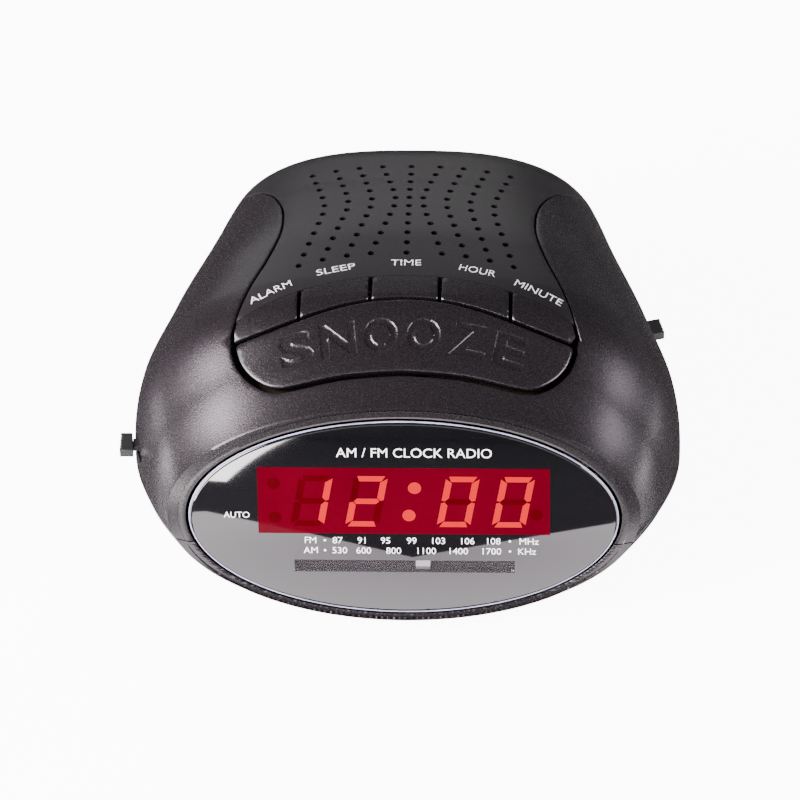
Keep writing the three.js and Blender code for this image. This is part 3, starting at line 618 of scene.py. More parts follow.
def crowned(points):
    """Marks moved a little up the lens where it crowns, in line with the parts behind it."""
    rise = lens_height(points[:, 0], points[:, 1]) - LENS["edge"]
    return points + np.stack([0 * rise, CROWN_SHIFT * rise], axis=1)


def lens_patch(name, loops, lift=0.0, back=None, spacing=1.4, rounded=()):
    """A mesh that follows the lens face inside loops of (u, v) points, with exact smooth normals."""
    places, faces = triangulate(loops, rounded, spacing)
    u, v = places[:, 0], places[:, 1]
    height = lens_height(u, v) + lift
    outer = front_point(u, v, height)
    behind = height - 0.2 if back is None else 0 * height + back
    mesh = thick_mesh(name, outer, front_point(u, v, behind), faces)
    smooth(mesh, 50)
    step = 0.01
    slope_u = (lens_height(u + step, v) - lens_height(u - step, v)) / (2 * step)
    slope_v = (lens_height(u, v + step) - lens_height(u, v - step)) / (2 * step)
    up = front_point(-slope_u, -slope_v, 0 * u + 1) - front_point(0 * u, 0 * u, 0 * u)
    normal = np.zeros((len(mesh.vertices), 3))
    normal[: len(up)] = up / np.linalg.norm(up, axis=1, keepdims=True)
    mesh.normals_split_custom_set_from_vertices([tuple(n) for n in normal])
    return mesh


def ellipse(u, v, centre, spacing=1.0):
    count = int(2 * math.pi * max(u, v) / spacing)
    t = np.linspace(0, 2 * math.pi, count, endpoint=False)
    return np.stack([u * np.cos(t), centre + v * np.sin(t)], axis=1)


def box_loop(left, right, low, high, spacing=1.4):
    corners = np.array([(left, low), (right, low), (right, high), (left, high), (left, low)])
    sides = [even(corners[i : i + 2], spacing)[:-1] for i in range(4)]
    return np.concatenate(sides)


# ---------------------------------------------------------------- lettering


def letters(text, cap_height, weight=0.0):
    """Triangulated letters about their own middle, in millimetres: points, faces, outline edges."""
    curve = bpy.data.curves.new("letters", "FONT")
    curve.body = text
    curve.align_x, curve.align_y = "CENTER", "CENTER"
    curve.size = 1.0
    curve.offset = weight
    curve.resolution_u = 4
    holder = linked("letters", curve)
    mesh = bpy.data.meshes.new_from_object(holder.evaluated_get(bpy.context.evaluated_depsgraph_get()))
    points = np.array([v.co[:2] for v in mesh.vertices])
    faces = [tuple(p.vertices) for p in mesh.polygons]
    seen = {}
    for face in faces:
        for a, b in zip(face, face[1:] + face[:1]):
            key = (min(a, b), max(a, b))
            seen[key] = seen.get(key, 0) + 1
    edges = np.array([pair for pair, count in seen.items() if count == 1])
    bpy.data.objects.remove(holder)
    bpy.data.curves.remove(curve)
    bpy.data.meshes.remove(mesh)
    low, high = points.min(axis=0), points.max(axis=0)
    points = (points - (low + high) / 2) * cap_height / CAP_SHARE
    return points, faces, points[edges]


def turned(points, angle, centre):
    c, s = math.cos(angle), math.sin(angle)
    return points @ np.array([[c, s], [-s, c]]) + centre


def decal(name, parts, material, place, body="case", replaced=()):
    """Flat lettering or marks laid on a surface. Parts is a list of (points, faces)."""
    verts, polygons = [], []
    for points, faces in parts:
        start = len(verts)
        verts += list(placed(place(np.array(points))))
        polygons += [tuple(start + i for i in face) for face in faces]
    return add_piece(name, new_mesh(name, verts, polygons), body, replaced, material)


def on_lens(lift):
    def place(points):
        u, v = crowned(points).T
        return front_point(u, v, lens_height(u, v) + lift)

    return place


def on_skin(lift):
    def place(points):
        places = locate(points)
        return skin(places) + skin_normal(places) * lift

    return place


# ---------------------------------------------------------------- materials


def shader(name, colour, roughness, **sockets):
    """A Principled material. Values that are the same all over are set on its sockets."""
    material = bpy.data.materials.new(name)
    material.use_nodes = True
    node = material.node_tree.nodes["Principled BSDF"]
    node.inputs["Base Color"].default_value = (*colour, 1)
    node.inputs["Roughness"].default_value = roughness
    for key, value in sockets.items():
        socket = node.inputs[key.replace("_", " ")]
        socket.default_value = (*value, 1) if isinstance(value, tuple) else value
    return material, material.node_tree, node


def toned(tree, where, size, detail, ends, shades, target):
    """Runs a colour socket between two shades over noise of a size. Returns the noise."""
    noise = add(tree, "ShaderNodeTexNoise", Scale=1 / (size * MM), Detail=detail)
    tree.links.new(where.outputs["Object"], noise.inputs["Vector"])
    ramp = tree.nodes.new("ShaderNodeValToRGB")
    for element, position, shade in zip(ramp.color_ramp.elements, ends, shades):
        element.position = position
        element.color = (*[min(1, channel) for channel in shade], 1)
    tree.links.new(noise.outputs["Fac"], ramp.inputs["Fac"])
    tree.links.new(ramp.outputs["Color"], target)
    return noise


def ranged(tree, noise, ends, values, target):
    """Runs a number socket between two values over noise."""
    (low, high), (first, last) = ends, values
    spread = add(tree, "ShaderNodeMapRange", From_Min=low, From_Max=high, To_Min=first, To_Max=last)
    tree.links.new(noise.outputs["Fac"], spread.inputs["Value"])
    tree.links.new(spread.outputs["Result"], target)


def scaled(colour, factor):
    return [channel * factor for channel in colour]


def add(tree, kind, **values):
    node = tree.nodes.new(kind)
    for key, value in values.items():
        node.inputs[key.replace("_", " ")].default_value = value
    return node


def vary(tree, node, colour, spread, size, roughness=None):
    """Drifts the colour, and the roughness between two values, over patches of the given size."""
    where = tree.nodes.new("ShaderNodeTexCoord")
    ends = (0.3, 0.7)
    shades = (scaled(colour, 1 - spread), scaled(colour, 1 + spread))
    noise = toned(tree, where, size, 3.0, ends, shades, node.inputs["Base Color"])
    if roughness:
        ranged(tree, noise, ends, roughness, node.inputs["Roughness"])
    return where


def grain(tree, node, where, size, depth):
    """A fine bump of the given grain size and depth in millimetres."""
    noise = add(tree, "ShaderNodeTexNoise", Scale=1 / (size * MM), Detail=2.0)
    tree.links.new(where.outputs["Object"], noise.inputs["Vector"])
    bump = add(tree, "ShaderNodeBump", Strength=1.0, Distance=depth * MM)
    tree.links.new(noise.outputs["Fac"], bump.inputs["Height"])
    tree.links.new(bump.outputs["Normal"], node.inputs["Normal"])


def plastic(name, colour, roughness, size, depth, spread=0.08, patch=9.0, speckle=0.0, **sockets):
    """Moulded plastic with a grain, and slow drifts of tone and sheen."""
    material, tree, node = shader(name, colour, roughness, **sockets)
    where = vary(tree, node, colour, spread, patch, (roughness * 0.92, min(1, roughness * 1.08)))
    if depth:
        grain(tree, node, where, size, depth)
    if speckle:
        sand(tree, node, where, colour, speckle, size, roughness)
    return material


def sand(tree, node, where, colour, speckle, size, roughness):
    """Fine dark and pale grains in the tone and the sheen, as on an etched mould."""
    ends = (0.35, 0.68)
    shades = (scaled(colour, 1 - speckle), scaled(colour, 1 + 3 * speckle))
    noise = toned(tree, where, size, 2.0, ends, shades, node.inputs["Base Color"])
    sheen = (roughness * (1 - 0.25 * speckle), roughness * (1 + 0.35 * speckle))
    ranged(tree, noise, ends, sheen, node.inputs["Roughness"])


def glowing(name, colour, glow, strength):
    """A lit segment: it glows, and its tone drifts a little."""
    material, tree, node = shader(name, colour, 0.3, Emission_Strength=strength, Specular_IOR_Level=0.05)
    where = vary(tree, node, colour, 0.05, 2.0)
    toned(tree, where, 1.5, 1.0, (0, 1), (scaled(glow, 0.93), glow), node.inputs["Emission Color"])
    return material


HOUSING = plastic("satin_housing", (0.0055, 0.0046, 0.0054), 0.25, 0.36, 0.032, speckle=0.35)
PANEL = plastic("satin_panel", (0.0050, 0.0042, 0.0052), 0.36, 0.32, 0.012, speckle=0.25)
LENS_BLACK = plastic("gloss_black", (0.002, 0.002, 0.0025), 0.03, 1, 0, patch=30.0, IOR=1.75)
RIM = plastic("lens_rim", (0.25, 0.26, 0.36), 0.15, 1, 0, patch=8.0, spread=0.25)
WINDOW_RED = plastic("red_filter", (0.042, 0.0002, 0.003), 0.05, 1, 0, patch=20.0, Specular_IOR_Level=0.04)
SEGMENT_OFF = plastic("segment_off", (0.030, 0.0002, 0.0012), 0.1, 1, 0, Specular_IOR_Level=0.04)
SEGMENT_ON = glowing("segment_lit", (0.1, 0.002, 0.002), (1.0, 0.002, 0.006), 1.05)
PRINT = plastic("print_white", (0.75, 0.75, 0.76), 0.45, 1, 0, patch=4.0, spread=0.05)
LENS_PRINT = plastic("lens_print", (0.62, 0.62, 0.62), 0.35, 1, 0, patch=4.0, spread=0.05)
DIAL_COVER = plastic("clear_cover", (0.05, 0.045, 0.05), 0.05, 1, 0, Alpha=0.16)
# The dial pointer is plain white plastic. Its emission is a painted glow that brightens it; it is not a
# lamp.
POINTER_PAINTED_GLOW = plastic("pointer_white_painted_glow", (0.8, 0.8, 0.8), 0.4, 1, 0, patch=3.0,
                  Emission_Color=(1.0, 1.0, 1.0), Emission_Strength=0.6)
BLACK = plastic("black_plastic", (0.006, 0.006, 0.007), 0.5, 0.3, 0.01)
RUBBER = plastic("rubber", (0.012, 0.012, 0.012), 0.8, 0.35, 0.02)
STEEL = plastic("steel", (0.55, 0.55, 0.56), 0.32, 0.2, 0.004, Metallic=1.0)
BRASS = plastic("brass", (0.6, 0.42, 0.16), 0.3, 0.2, 0.004, Metallic=1.0)
COPPER = plastic("copper", (0.45, 0.16, 0.06), 0.35, 0.25, 0.03, Metallic=0.9)
FERRITE = plastic("ferrite", (0.05, 0.048, 0.045), 0.6, 0.3, 0.02)
PAPER = plastic("cone_paper", (0.03, 0.028, 0.026), 0.9, 0.5, 0.06, spread=0.2)
GREEN_BOARD = plastic("green_board", (0.03, 0.12, 0.04), 0.35, 0.5, 0.01, spread=0.15)
TAN_BOARD = plastic("tan_board", (0.030, 0.020, 0.012), 0.6, 0.5, 0.015, spread=0.15)
SLEEVE = plastic("capacitor_sleeve", (0.01, 0.015, 0.06), 0.3, 0.4, 0.006)
RIBBON = plastic("ribbon", (0.35, 0.35, 0.37), 0.5, 0.6, 0.02)

# ---------------------------------------------------------------- case pieces

FRONT_EDGE = -(RING_FACE + RING_LIP)
GIRTH = 2 * math.pi * GIRTH_RADIUS


def stack(across, along):
    return np.stack([across + 0 * along, along + 0 * across], axis=1)


def parting_line(start, end, z, spacing=1.2):
    """The right parting line in the unrolled skin, between two places along the case."""
    along = np.linspace(start, end, max(2, int(abs(end - start) / spacing)))
    return stack(level(along, z), along)


def side_hole(y, z, front, rear, half):
    """A slot through the right side at (y, z), from front to rear of there."""
    targets = box_loop(front, rear, -half, half, 1.0) + (y, z)
    start = stack(level(targets[:, 0], z), targets[:, 0] - 5)
    return locate(targets, [1, 2], start)


def slider_hole(slot):
    return side_hole(slot["y"], slot["z"], slot["front"], slot["rear"], SLIDER_SLOT_HALF)


def opening_line():
    """The housing's edge round the snooze bar, from the right corner to the left one."""
    half = shifted(spline(SNOOZE_FRONT, 80), -SNOOZE_GAP)
    half[0, 0] = 0
    right = locate(half)
    return even(np.concatenate([right[::-1], mirrored(right[::-1])[1:]]), 1.0)


def upper_housing():
    high = PARTING_Z + PARTING_GAP / 2
    groove = even(shifted(GROOVE_LINE, GROOVE_GAP / 2), 1.0)
    groove = groove[groove[:, 0] < level(groove[:, 1], high)]
    opening = opening_line()
    side = parting_line(FRONT_EDGE, groove[0, 1], high)
    front = stack(np.linspace(-side[0, 0], side[0, 0], 200), np.array([FRONT_EDGE]))
    outline = np.concatenate(
        [side, groove[1:], opening[1:-1], mirrored(groove[1:]), mirrored(side)[:-1], front[1:-1]]
    )
    crease = stack(np.linspace(-level(0, high)[0], level(0, high)[0], 260)[1:-1], np.array([0.0]))
    lip = stack(crease[:, 0], np.array([-RING_FACE]))
    function_slot = slider_hole(FUNCTION_SLOT) * (-1, 1)
    band_slot = slider_hole(BAND_SLOT)
    rounded = [(opening, KEY_ROUND), *both_sides(groove, GROOVE_ROUND)]
    rounded += both_sides(side[side[:, 1] > 0], PARTING_ROUND)
    mesh = skin_patch(
        "upper_housing", [outline, function_slot[::-1], band_slot], rounded, creases=(crease, lip)
    )
    finish_object("upper_housing_skin", mesh, "case", ["upper_housing"], HOUSING)


def grille_holes():
    """Rings of unrolled places round each hole: nine bowed columns of eleven."""
    holes = []
    for column in range(-GRILLE_SIDE, GRILLE_SIDE + 1):
        side = abs(column)
        for row in range(GRILLE_ROWS):
            bow = math.hypot(COLUMN["slope"] * (row - COLUMN["vertex"]), COLUMN["round"]) - COLUMN["round"]
            x = math.copysign(COLUMN["first"] + COLUMN["step"] * (side - 1) + bow, column) if side else 0
            drop = side * side * (COLUMN_DROP["first"] + COLUMN_DROP["row"] * row)
            y = GRILLE_Y - GRILLE_PITCH * row - drop
            holes.append(locate(ring_of((x, y), HOLE_RADIUS, HOLE_SIDES)))
    return holes


def top_panel():
    high = PARTING_Z + PARTING_GAP / 2
    groove = even(shifted(GROOVE_LINE, -GROOVE_GAP / 2), 1.0)
    groove = groove[groove[:, 0] < level(groove[:, 1], high)]
    plan = skin(groove)
    groove = groove[plan[:, 1] > key_rear_y(plan[:, 0]) + HINGE_GAP]
    side = parting_line(groove[0, 1], REAR_EDGE, high)
    rear = stack(np.linspace(side[-1, 0], -side[-1, 0], 120), np.array([REAR_EDGE]))
    x = np.linspace(-skin(groove[-1:])[0, 0], skin(groove[-1:])[0, 0], 70)
    front = locate(np.stack([x, key_rear_y(x) + HINGE_GAP / 2], axis=1))
    outline = np.concatenate(
        [front[1:-1], groove[::-1][:-1], side, rear[1:-1], mirrored(side), mirrored(groove[::-1])[1:]]
    )
    rounded = both_sides(groove, GROOVE_ROUND) + both_sides(side, PARTING_ROUND)
    mesh = skin_patch("top_panel", [outline] + grille_holes(), rounded, spacing=1.1, cap=True)
    finish_object("top_panel_skin", mesh, "case", ["top_panel"], PANEL)


def snooze_loop():
    half = spline(SNOOZE_FRONT, 60)
    right = locate(half)
    x = np.linspace(SNOOZE_FRONT[-1][0] - 1, 1 - SNOOZE_FRONT[-1][0], 60)
    rear = locate(np.stack([x, snooze_rear_y(x) - KEY_GAP / 2], axis=1))
    return np.concatenate([even(mirrored(right), 0.8)[:-1], even(right, 0.8), rear])


def closed(loop):
    return np.concatenate([loop, loop[:1]])


def snooze_bar():
    loop = snooze_loop()
    edges = []
    for letter, x, width in SNOOZE_LETTERS:
        points, _, outline = letters(letter, SNOOZE_CAP, weight=SNOOZE_WEIGHT)
        flat = outline.reshape(-1, 2) * (width / np.ptp(points[:, 0]), 1)
        angle = math.atan(-2 * SNOOZE_LETTER_BOW * x)
        placed = turned(flat, angle, (x, SNOOZE_LETTER_Y - SNOOZE_LETTER_BOW * x * x))
        edges.append(locate(placed).reshape(-1, 2, 2))
    engraved = np.concatenate(edges)
    mesh = skin_patch("snooze", [loop], [(closed(loop), SNOOZE_ROUND)], 1.1, engraved)
    finish_object("snooze_bar", mesh, "snooze", ["snooze_key"], HOUSING)


def function_keys():
    groove = skin(GROOVE_LINE)
    groove = groove[groove[:, 1] < 60]
    for i, name in enumerate(KEY_NAMES):
        outer = []
        for side, split in ((-1, i - 1), (1, i)):
            if 0 <= split < len(KEY_SPLITS):
                x = KEY_SPLITS[split] - side * KEY_GAP / 2
                outer.append(np.array([[x, snooze_rear_y(x) + KEY_GAP / 2], [x, key_rear_y(x) - 0.1]]))
            else:
                line = groove[::-1, :2] * (side, 1) - (side * KEY_GAP, 0)
                above = line[:, 1] > snooze_rear_y(line[:, 0]) + KEY_GAP / 2
                outer.append(line[above & (line[:, 1] < key_rear_y(line[:, 0]) - 0.1)])
        left, right = outer
        x = np.linspace(left[0, 0], right[0, 0], 16)
        front = np.stack([x, snooze_rear_y(x) + KEY_GAP / 2], axis=1)
        x = np.linspace(right[-1, 0], left[-1, 0], 16)
        rear = np.stack([x, key_rear_y(x) - HINGE_GAP / 2], axis=1)
        plan = [even(line, 0.9)[:-1] for line in (front, right, rear, left[::-1])]
        loop = locate(np.concatenate(plan))
        sides = [left[::-1]] if i else []
        sides += [right] if i < len(KEY_SPLITS) else []
        softened = [(even(line, 0.9), KEY_ROUND) for line in sides + [front]]
        softened = [(locate(line), radius) for line, radius in softened]
        mesh = skin_patch(name, [loop], softened, 1.0, thickness=1.6)
        finish_object(f"{name}_key_cap", mesh, name, [f"{name}_key"], HOUSING)


def on_floor(points):
    """Unrolled places of bottom points given as (x, y)."""
    points = np.array(points, float)
    return locate(points, [0, 1], stack(GIRTH / 2 - points[:, 0], points[:, 1] - 2))


def ring_of(centre, radius, count=24):
    t = np.linspace(0, 2 * math.pi, count, endpoint=False)
    return np.stack([centre[0] + radius * np.cos(t), centre[1] + radius * np.sin(t)], axis=1)


def tube(centre, radius, low, high, count=24):
    """A recess wall with a flat end at its top: points and faces seen from inside."""
    ring = ring_of(centre, radius, count)
    points = [np.column_stack([ring, np.full(count, z)]) for z in (low, high)]
    faces = [(i + count, (i + 1) % count + count, (i + 1) % count, i) for i in range(count)]
    return np.concatenate(points), faces + [tuple(range(count, 2 * count))[::-1]]


def merged(mesh, parts):
    """Adds loose surfaces, given as (points, faces), to a finished mesh."""
    verts = [tuple(v.co) for v in mesh.vertices]
    faces = [tuple(p.vertices) for p in mesh.polygons]
    for points, extra in parts:
        start = len(verts)
        verts += list(placed(points))
        faces += [tuple(start + i for i in face) for face in extra]
    return new_mesh(mesh.name, verts, faces)


def bay_walls():
    x, front, rear, low, high = (BAY[key] for key in ("x", "front", "rear", "low", "roof"))
    plan = [(-x, front), (x, front), (x, rear), (-x, rear)]
    points = [(*p, z) for z in (low, high) for p in plan]
    faces = [(i + 4, (i + 1) % 4 + 4, (i + 1) % 4, i) for i in range(4)]
    return np.array(points), faces + [(7, 6, 5, 4)]


def lower_housing():
    low = PARTING_Z - PARTING_GAP / 2
    side = parting_line(FRONT_EDGE, REAR_EDGE, low)
    far = (side * (-1, 1) + (GIRTH, 0))[::-1]
    front = stack(np.linspace(far[-1, 0], side[0, 0], 200), np.array([FRONT_EDGE]))[::-1]
    rear = stack(np.linspace(far[0, 0], side[-1, 0], 120), np.array([REAR_EDGE]))
    outline = np.concatenate([front, far[::-1][1:], rear[1:], side[::-1][1:-1]])
    crossing = np.linspace(level(0, low)[0], GIRTH - level(0, low)[0], 260)[1:-1]
    crease, lip = stack(crossing, np.array([0.0])), stack(crossing, np.array([-RING_FACE]))
    holes = [on_floor(box_loop(-BAY["x"], BAY["x"], BAY["front"], BAY["rear"]))]
    holes += [on_floor(ring_of(centre, SCREW_RADIUS)) for centre in SCREWS]
    y, z, half, half_height = WHEEL_SLOT.values()
    slot = side_hole(y, z, -half, half, half_height)
    holes += [slot, (slot * (-1, 1) + (GIRTH, 0))[::-1]]
    body = side[side[:, 1] > 0]
    rounded = [(body, PARTING_ROUND), (body * (-1, 1) + (GIRTH, 0), PARTING_ROUND)]
    mesh = skin_patch(
        "lower_housing", [outline] + holes, rounded, spacing=1.6, cap=True, creases=(crease, lip)
    )
    recesses = []
    for centre in SCREWS:
        mouth = skin(on_floor([centre]))[0, 2] + 0.2
        recesses.append(tube(centre, SCREW_RADIUS, mouth, SCREW_SEAT))
    pads = [tube(centre, PAD["radius"], PAD["top"], PAD["low"], 32) for centre in FEET]
    mesh = merged(mesh, [bay_walls(), *recesses, *pads])
    finish_object("lower_housing_skin", mesh, "case", ["lower_housing"], HOUSING)


def battery_door():
    x, front, rear = BAY["x"] - DOOR_GAP, BAY["front"] + DOOR_GAP, BAY["rear"] - DOOR_GAP
    loop = on_floor(box_loop(-x, x, front, rear, 1.0))[::-1]
    half, count, pitch, width, behind = DOOR_RIBS.values()
    ends = [rear - behind - pitch * i for i in range(count)]
    ribs = [on_floor(box_loop(-half, half, end - width, end, 1.0)) for end in ends]
    mesh = skin_patch("door", [loop], [(closed(loop), DOOR_ROUND)], 1.5, segments_of(ribs))
    finish_object("battery_door_cover", mesh, "door", ["battery_door"], HOUSING)


# ---------------------------------------------------------------- display and dial

def digit_segments():
    """The seven strokes of an upright digit, by their usual letters."""
    w, h, t, g = (DIGIT[key] for key in ("half_width", "half_height", "stroke", "gap"))
    bevel = 0.55
    top = [(-w + bevel + g, h), (w - bevel - g, h)]
    top += [(w - t * 0.75 - g, h - t * 0.9), (-w + t * 0.75 + g, h - t * 0.9)]
    upper = [(w, h - bevel - g), (w, g + 0.2), (w - t / 2, g), (w - t, t / 2 + g), (w - t, h - t - g)]
    middle = [(-w + t / 2 + g, 0), (-w + t, t * 0.45), (w - t, t * 0.45), (w - t / 2 - g, 0)]
    middle += [(w - t, -t * 0.45), (-w + t, -t * 0.45)]

    def flipped(points, x, y):
        return [(px * x, py * y) for px, py in points]

    return {
        "a": top,
        "b": upper,
        "c": flipped(upper, 1, -1),
        "d": flipped(top, 1, -1),
        "e": flipped(upper, -1, -1),
        "f": flipped(upper, -1, 1),
        "g": middle,
    }


def display():
    lit, unlit = [], []
    for centre, on in DIGITS:
        for name, points in digit_segments().items():
            p = np.array(points)
            placed = np.stack([centre + p[:, 0] + DIGIT["slant"] * p[:, 1], DIGIT["v"] + p[:, 1]], axis=1)
            face = [tuple(range(len(points)))]
            (lit if name in on else unlit).append((placed, face))
    lit += [(ring_of(place, COLON_RADIUS, 32), [tuple(range(32))]) for place in COLON]
    unlit += [(ring_of(place, UNLIT_RADIUS, 32), [tuple(range(32))]) for place in UNLIT_DOTS]
    face = on_lens(DECAL_LIFT)
    decal("lit_segments", lit, SEGMENT_ON, face, replaced=["led_display"])
    decal("unlit_segments", unlit, SEGMENT_OFF, face)


def lens_rim(loop):
    """A fine bead round the lens edge."""
    sides = 8
    points, faces = [], []
    count = len(loop)
    way = np.roll(loop, -1, axis=0) - np.roll(loop, 1, axis=0)
    out = np.stack([way[:, 1], -way[:, 0]], axis=1) / np.linalg.norm(way, axis=1, keepdims=True)
    for k in range(sides):
        turn = 2 * math.pi * k / sides
        centre = loop + out * (RIM_BEAD["out"] + RIM_BEAD["radius"] * math.cos(turn))
        height = RIM_BEAD["w"] + RIM_BEAD["radius"] * math.sin(turn)
        points.append(front_point(centre[:, 0], centre[:, 1], height + 0 * centre[:, 0]))
    for k in range(sides):
        for i in range(count):
            j, n = (i + 1) % count, (k + 1) % sides
            faces.append((k * count + i, k * count + j, n * count + j, n * count + i))
    mesh = new_mesh("lens_rim", placed(np.concatenate(points)), faces)
    finish_object("lens_rim", mesh, "case", [], RIM, sharp=60)


def lens():
    rim = ellipse(LENS["u"], LENS["v"], LENS["centre"], 0.8)
    window = crowned(box_loop(*WINDOW.values()))
    slot = crowned(box_loop(*SLOT.values()))
    mesh = lens_patch("lens", [rim, window, slot], back=LENS["back"], rounded=[(closed(rim), LENS_ROUND)])
    add_piece("lens_face", mesh, "case", ["display_lens"], LENS_BLACK)
    lens_rim(rim)
    mesh = lens_patch("window", [window])
    add_piece("display_window", mesh, "case", ["display_filter"], WINDOW_RED)
    mesh = lens_patch("dial_cover", [slot])
    add_piece("dial_window", mesh, "case", [], DIAL_COVER)


def fitted(label, cap, width, centre):
    """Letters of one line stretched to a width and put in place."""
    points, faces, _ = letters(label, cap)
    stretch = width / (points[:, 0].max() - points[:, 0].min())
    return points * (stretch, 1) + centre, faces


def lens_lettering():
    title, mode = (fitted(m["text"], m["cap"], m["width"], (m["u"], m["v"])) for m in (TITLE, MODE))
    decal("lens_lettering", [title, mode], LENS_PRINT, on_lens(DECAL_LIFT))
    marks = []
    for v, row in DIAL_ROWS:
        for label, u in row:
            points, faces, _ = letters(label, DIAL_CAP)
            marks.append((points + (u, v), faces))
        marks += [(ring_of((u, v), 0.33, 12), [tuple(range(12))]) for u in DIAL_DOTS]
    decal("dial_scale", marks, LENS_PRINT, on_lens(DECAL_LIFT))


def key_lettering():
    marks = []
    for label, x, width in KEY_LABELS:
        points, faces = fitted(label, LABEL_CAP, width, (0, 0))
        angle = math.atan(-2 * KEY_REAR["bow"] * x)
        marks.append((turned(points, angle, (x, LABEL_ARC["y"] - LABEL_ARC["bow"] * x * x)), faces))
    decal("key_lettering", marks, PRINT, on_skin(LABEL_LIFT))


# ---------------------------------------------------------------- side slider knobs

def prism(outline, half_height):
    """Points and faces of an upright prism about z = 0, over a counter-clockwise outline."""
    count = len(outline)
    points = [(x, y, z) for z in (-half_height, half_height) for x, y in outline]
    sides = [(i, (i + 1) % count, (i + 1) % count + count, i + count) for i in range(count)]
    return points, sides + [tuple(range(count))[::-1], tuple(range(count, 2 * count))]


def slider_knobs():
    for name, slider in SLIDERS.items():
        side = math.copysign(1, slider["place"][0])
        half, reach = slider["half"], slider["reach"]
        ribs = int(round(2 * half / KNOB["rib"]))
        lean = slider["lean"] * half
        outline = [(KNOB["clear"] + lean, half), (KNOB["clear"] - lean, -half)]
        for i in range(ribs):
            y = -half + i * 2 * half / ribs
            outline += [(reach, y), (reach, y + 0.55 * KNOB["rib"])]
            outline += [(reach - KNOB["rib_depth"], y + 0.62 * KNOB["rib"])]
            outline += [(reach - KNOB["rib_depth"], y + 0.93 * KNOB["rib"])] if i < ribs - 1 else []
        outline[-2:] = [(reach, half)]
        stem = [(-3.0, -KNOB["stem"]), (KNOB["clear"], -KNOB["stem"]), (KNOB["clear"], KNOB["stem"]),
                (-3.0, KNOB["stem"])]
        verts, polygons = [], []
        for flat, height in ((outline, KNOB["half_height"]), (stem, KNOB["stem_height"])):
            points, faces = prism(flat, height)
            polygons += [tuple(len(verts) + i for i in face) for face in faces]
            verts += points
        c, s = math.cos(slider["turn"]), math.sin(slider["turn"])
        x0, y0, z0 = slider["place"]
        spots = [case_place(x0 + side * (c * x - s * y), y0 + s * x + c * y, z0 + z) for x, y, z in verts]
        if side < 0:
            polygons = [face[::-1] for face in polygons]
        mesh = new_mesh(f"{name}_knob", spots, polygons)
        knob = finish_object(
            f"{name}_knob", mesh, f"{name}_slider", [f"{name}_slider_knob"], BLACK
        )
        soften(knob, KNOB_EDGE)


def soften(piece, width):
    """Small rounded edges."""
    bevel = piece.modifiers.new("edge", "BEVEL")
    bevel.width = width * MM
    bevel.segments = 2
    bevel.limit_method = "ANGLE"
    bevel.angle_limit = math.radians(CREASE_ANGLE)


# ---------------------------------------------------------------- carried-over CAD nodes

CAD_LOOKS = (
    (RUBBER, "foot_front_left foot_front_right foot_rear_left foot_rear_right cord_gland"),
    (GREEN_BOARD, "display_board main_board"),
    (TAN_BOARD, "key_board left_control_board right_control_board"),
    # The pointer's material carries a painted glow.
    (POINTER_PAINTED_GLOW, "dial_pointer"),
    (PRINT, "dial_pulley_left dial_pulley_right dial_cord tuning_capacitor"),
    (STEEL, "function_switch band_switch volume_potentiometer speaker_basket transformer_core"),
    (STEEL, "screw_front_left screw_front_right screw_rear_left screw_rear_right"),
    (BRASS, "battery_contacts"),
    (COPPER, "transformer_coil ferrite_coil"),
    (FERRITE, "ferrite_rod speaker_magnet"),
    (PAPER, "speaker_cone"),
    (SLEEVE, "filter_capacitor"),
    (RIBBON, "display_ribbon"),
)


def dress_cad_nodes():
    """Gives every carried-over CAD node its material, black plastic if none is named, and fine edges."""
    looks = {name: material for material, names in CAD_LOOKS for name in names.split()}
    for name, node in NODES.items():
        if node.hide_render:
            continue
        node.data.materials.clear()
        node.data.materials.append(looks.get(name, BLACK))
        soften(node, CAD_EDGE)


upper_housing()
top_panel()
snooze_bar()
function_keys()
lower_housing()
battery_door()
lens()
display()
lens_lettering()
key_lettering()
slider_knobs()
dress_cad_nodes()

# ---------------------------------------------------------------- stage and camera

def stage_camera():
    data = bpy.data.cameras.new("camera")
    data.lens, data.sensor_width = CAMERA["lens"], 36.0
    data.clip_start, data.clip_end = 0.05, 20
    camera = linked("camera", data)
    a, e = math.radians(CAMERA["azimuth"]), math.radians(CAMERA["elevation"])
    back = Vector((math.sin(a) * math.cos(e), -math.cos(a) * math.cos(e), math.sin(e)))
    right = Vector((math.cos(a), math.sin(a), 0))
    up = back.cross(right)
    basis = Matrix((right, up, back)).transposed()
    spin = Matrix.Rotation(-math.radians(CAMERA["roll"]), 3, back)
    camera.matrix_world = Matrix.Translation(case_place(*LOOK_AT) + back * CAMERA["distance"] * MM) @ (
        spin @ basis
    ).to_4x4()
    bpy.context.scene.camera = camera


def flat_piece(name, points, material):
    """A flat part of the stage, in the case's millimetres."""
    mesh = new_mesh(name, [case_place(*p) for p in points], [range(len(points))])
    mesh.materials.append(material)
    piece = linked(name, mesh)
    return piece


def stage_floor():
    corners = [(x * FLOOR_HALF, y * FLOOR_HALF, 0) for x, y in ((-1, -1), (1, -1), (1, 1), (-1, 1))]
    pale = plastic("floor_white", FLOOR_WHITE, 0.7, 1, 0, patch=400.0, spread=0.01)
    node = pale.node_tree.nodes["Principled BSDF"]
    node.inputs["Emission Color"].default_value = (1, 0.99, 0.99, 1)
    node.inputs["Emission Strength"].default_value = FLOOR_GLOW
    flat_piece("floor", corners, pale)


def card(name, outline, material):
    """A stage card seen only as a reflection."""
    piece = flat_piece(name, outline, material)
    piece.visible_camera = False
    piece.visible_diffuse = False
    piece.visible_shadow = False
    piece.visible_transmission = False


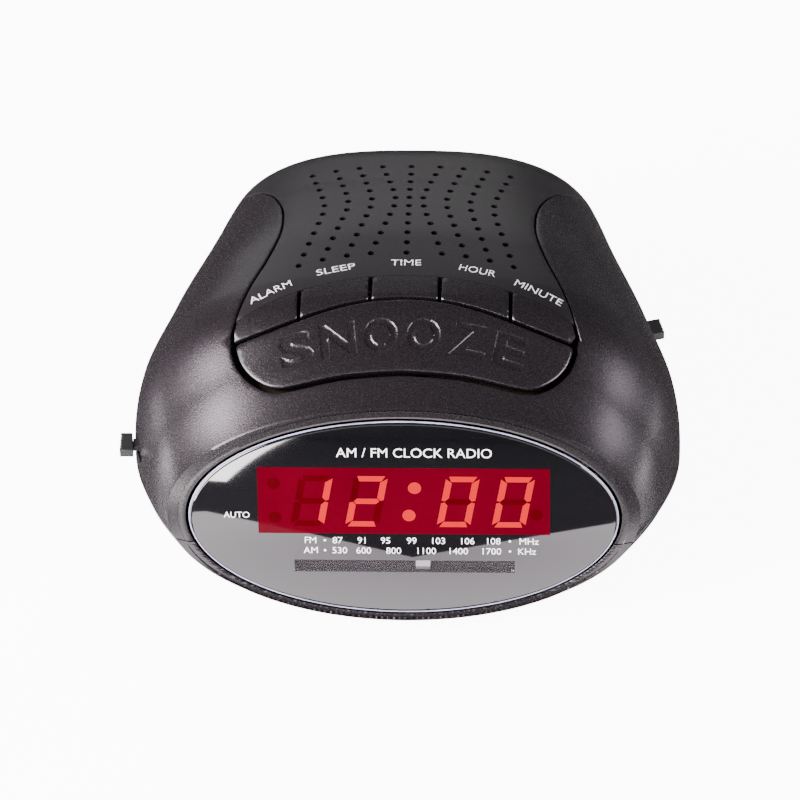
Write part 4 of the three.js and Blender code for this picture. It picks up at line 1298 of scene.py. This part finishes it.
def stage_cards():
    """Cards that only reflections see: black over the floor and far in front, white ones beside it."""
    black = plastic("card_black", (0.004, 0.004, 0.004), 0.9, 1, 0)
    card("dark_floor", [(*p, 0.3) for p in DARK_FLOOR], black)
    card("front_card", [(*p, 0.6) for p in FRONT_CARD], glow_card("card_front", *FRONT_CARD_GLOW))
    for name, outline, glow in SIDE_CARDS:
        card(name, [(*p, 0.5) for p in outline], glow_card(name, glow, glow))
    card("far_card", [(x, FAR_CARD["y"], z) for x, z in FAR_CARD["outline"]], black)


def glow_card(name, near, far):
    """A white card whose glow runs from one strength at CARD_HEART to another CARD_REACH away."""
    material, tree, node = shader(name, (0.8, 0.8, 0.8), 0.9, Emission_Color=(1.0, 0.95, 0.98))
    where = tree.nodes.new("ShaderNodeTexCoord")
    apart = tree.nodes.new("ShaderNodeVectorMath")
    apart.operation = "DISTANCE"
    apart.inputs[1].default_value = case_place(*CARD_HEART)
    tree.links.new(where.outputs["Object"], apart.inputs[0])
    ramp = tree.nodes.new("ShaderNodeMapRange")
    for key, value in (("From Min", 0), ("From Max", CARD_REACH * MM), ("To Min", near), ("To Max", far)):
        ramp.inputs[key].default_value = value
    tree.links.new(apart.outputs["Value"], ramp.inputs["Value"])
    tree.links.new(ramp.outputs["Result"], node.inputs["Emission Strength"])
    return material


def softbox(name, place, size, power, colour):
    """A rectangular light aimed at the radio."""
    data = bpy.data.lights.new(name, "AREA")
    data.shape = "RECTANGLE"
    data.size, data.size_y = size[0] * MM, size[1] * MM
    data.energy = power
    data.color = colour
    light = linked(name, data)
    light.location = case_place(*place)
    light.rotation_euler = (case_place(*LIGHT_AIM) - light.location).to_track_quat("-Z", "Y").to_euler()


def stage_lights():
    world = bpy.data.worlds.new("studio")
    world.use_nodes = True
    world.node_tree.nodes["Background"].inputs["Color"].default_value = (1.0, 0.98, 1.0, 1)
    world.node_tree.nodes["Background"].inputs["Strength"].default_value = WORLD_GLOW
    bpy.context.scene.world = world
    for name, place, size, power, colour in SOFTBOXES:
        softbox(name, place, size, power, colour)


stage_camera()
stage_floor()
stage_cards()
stage_lights()
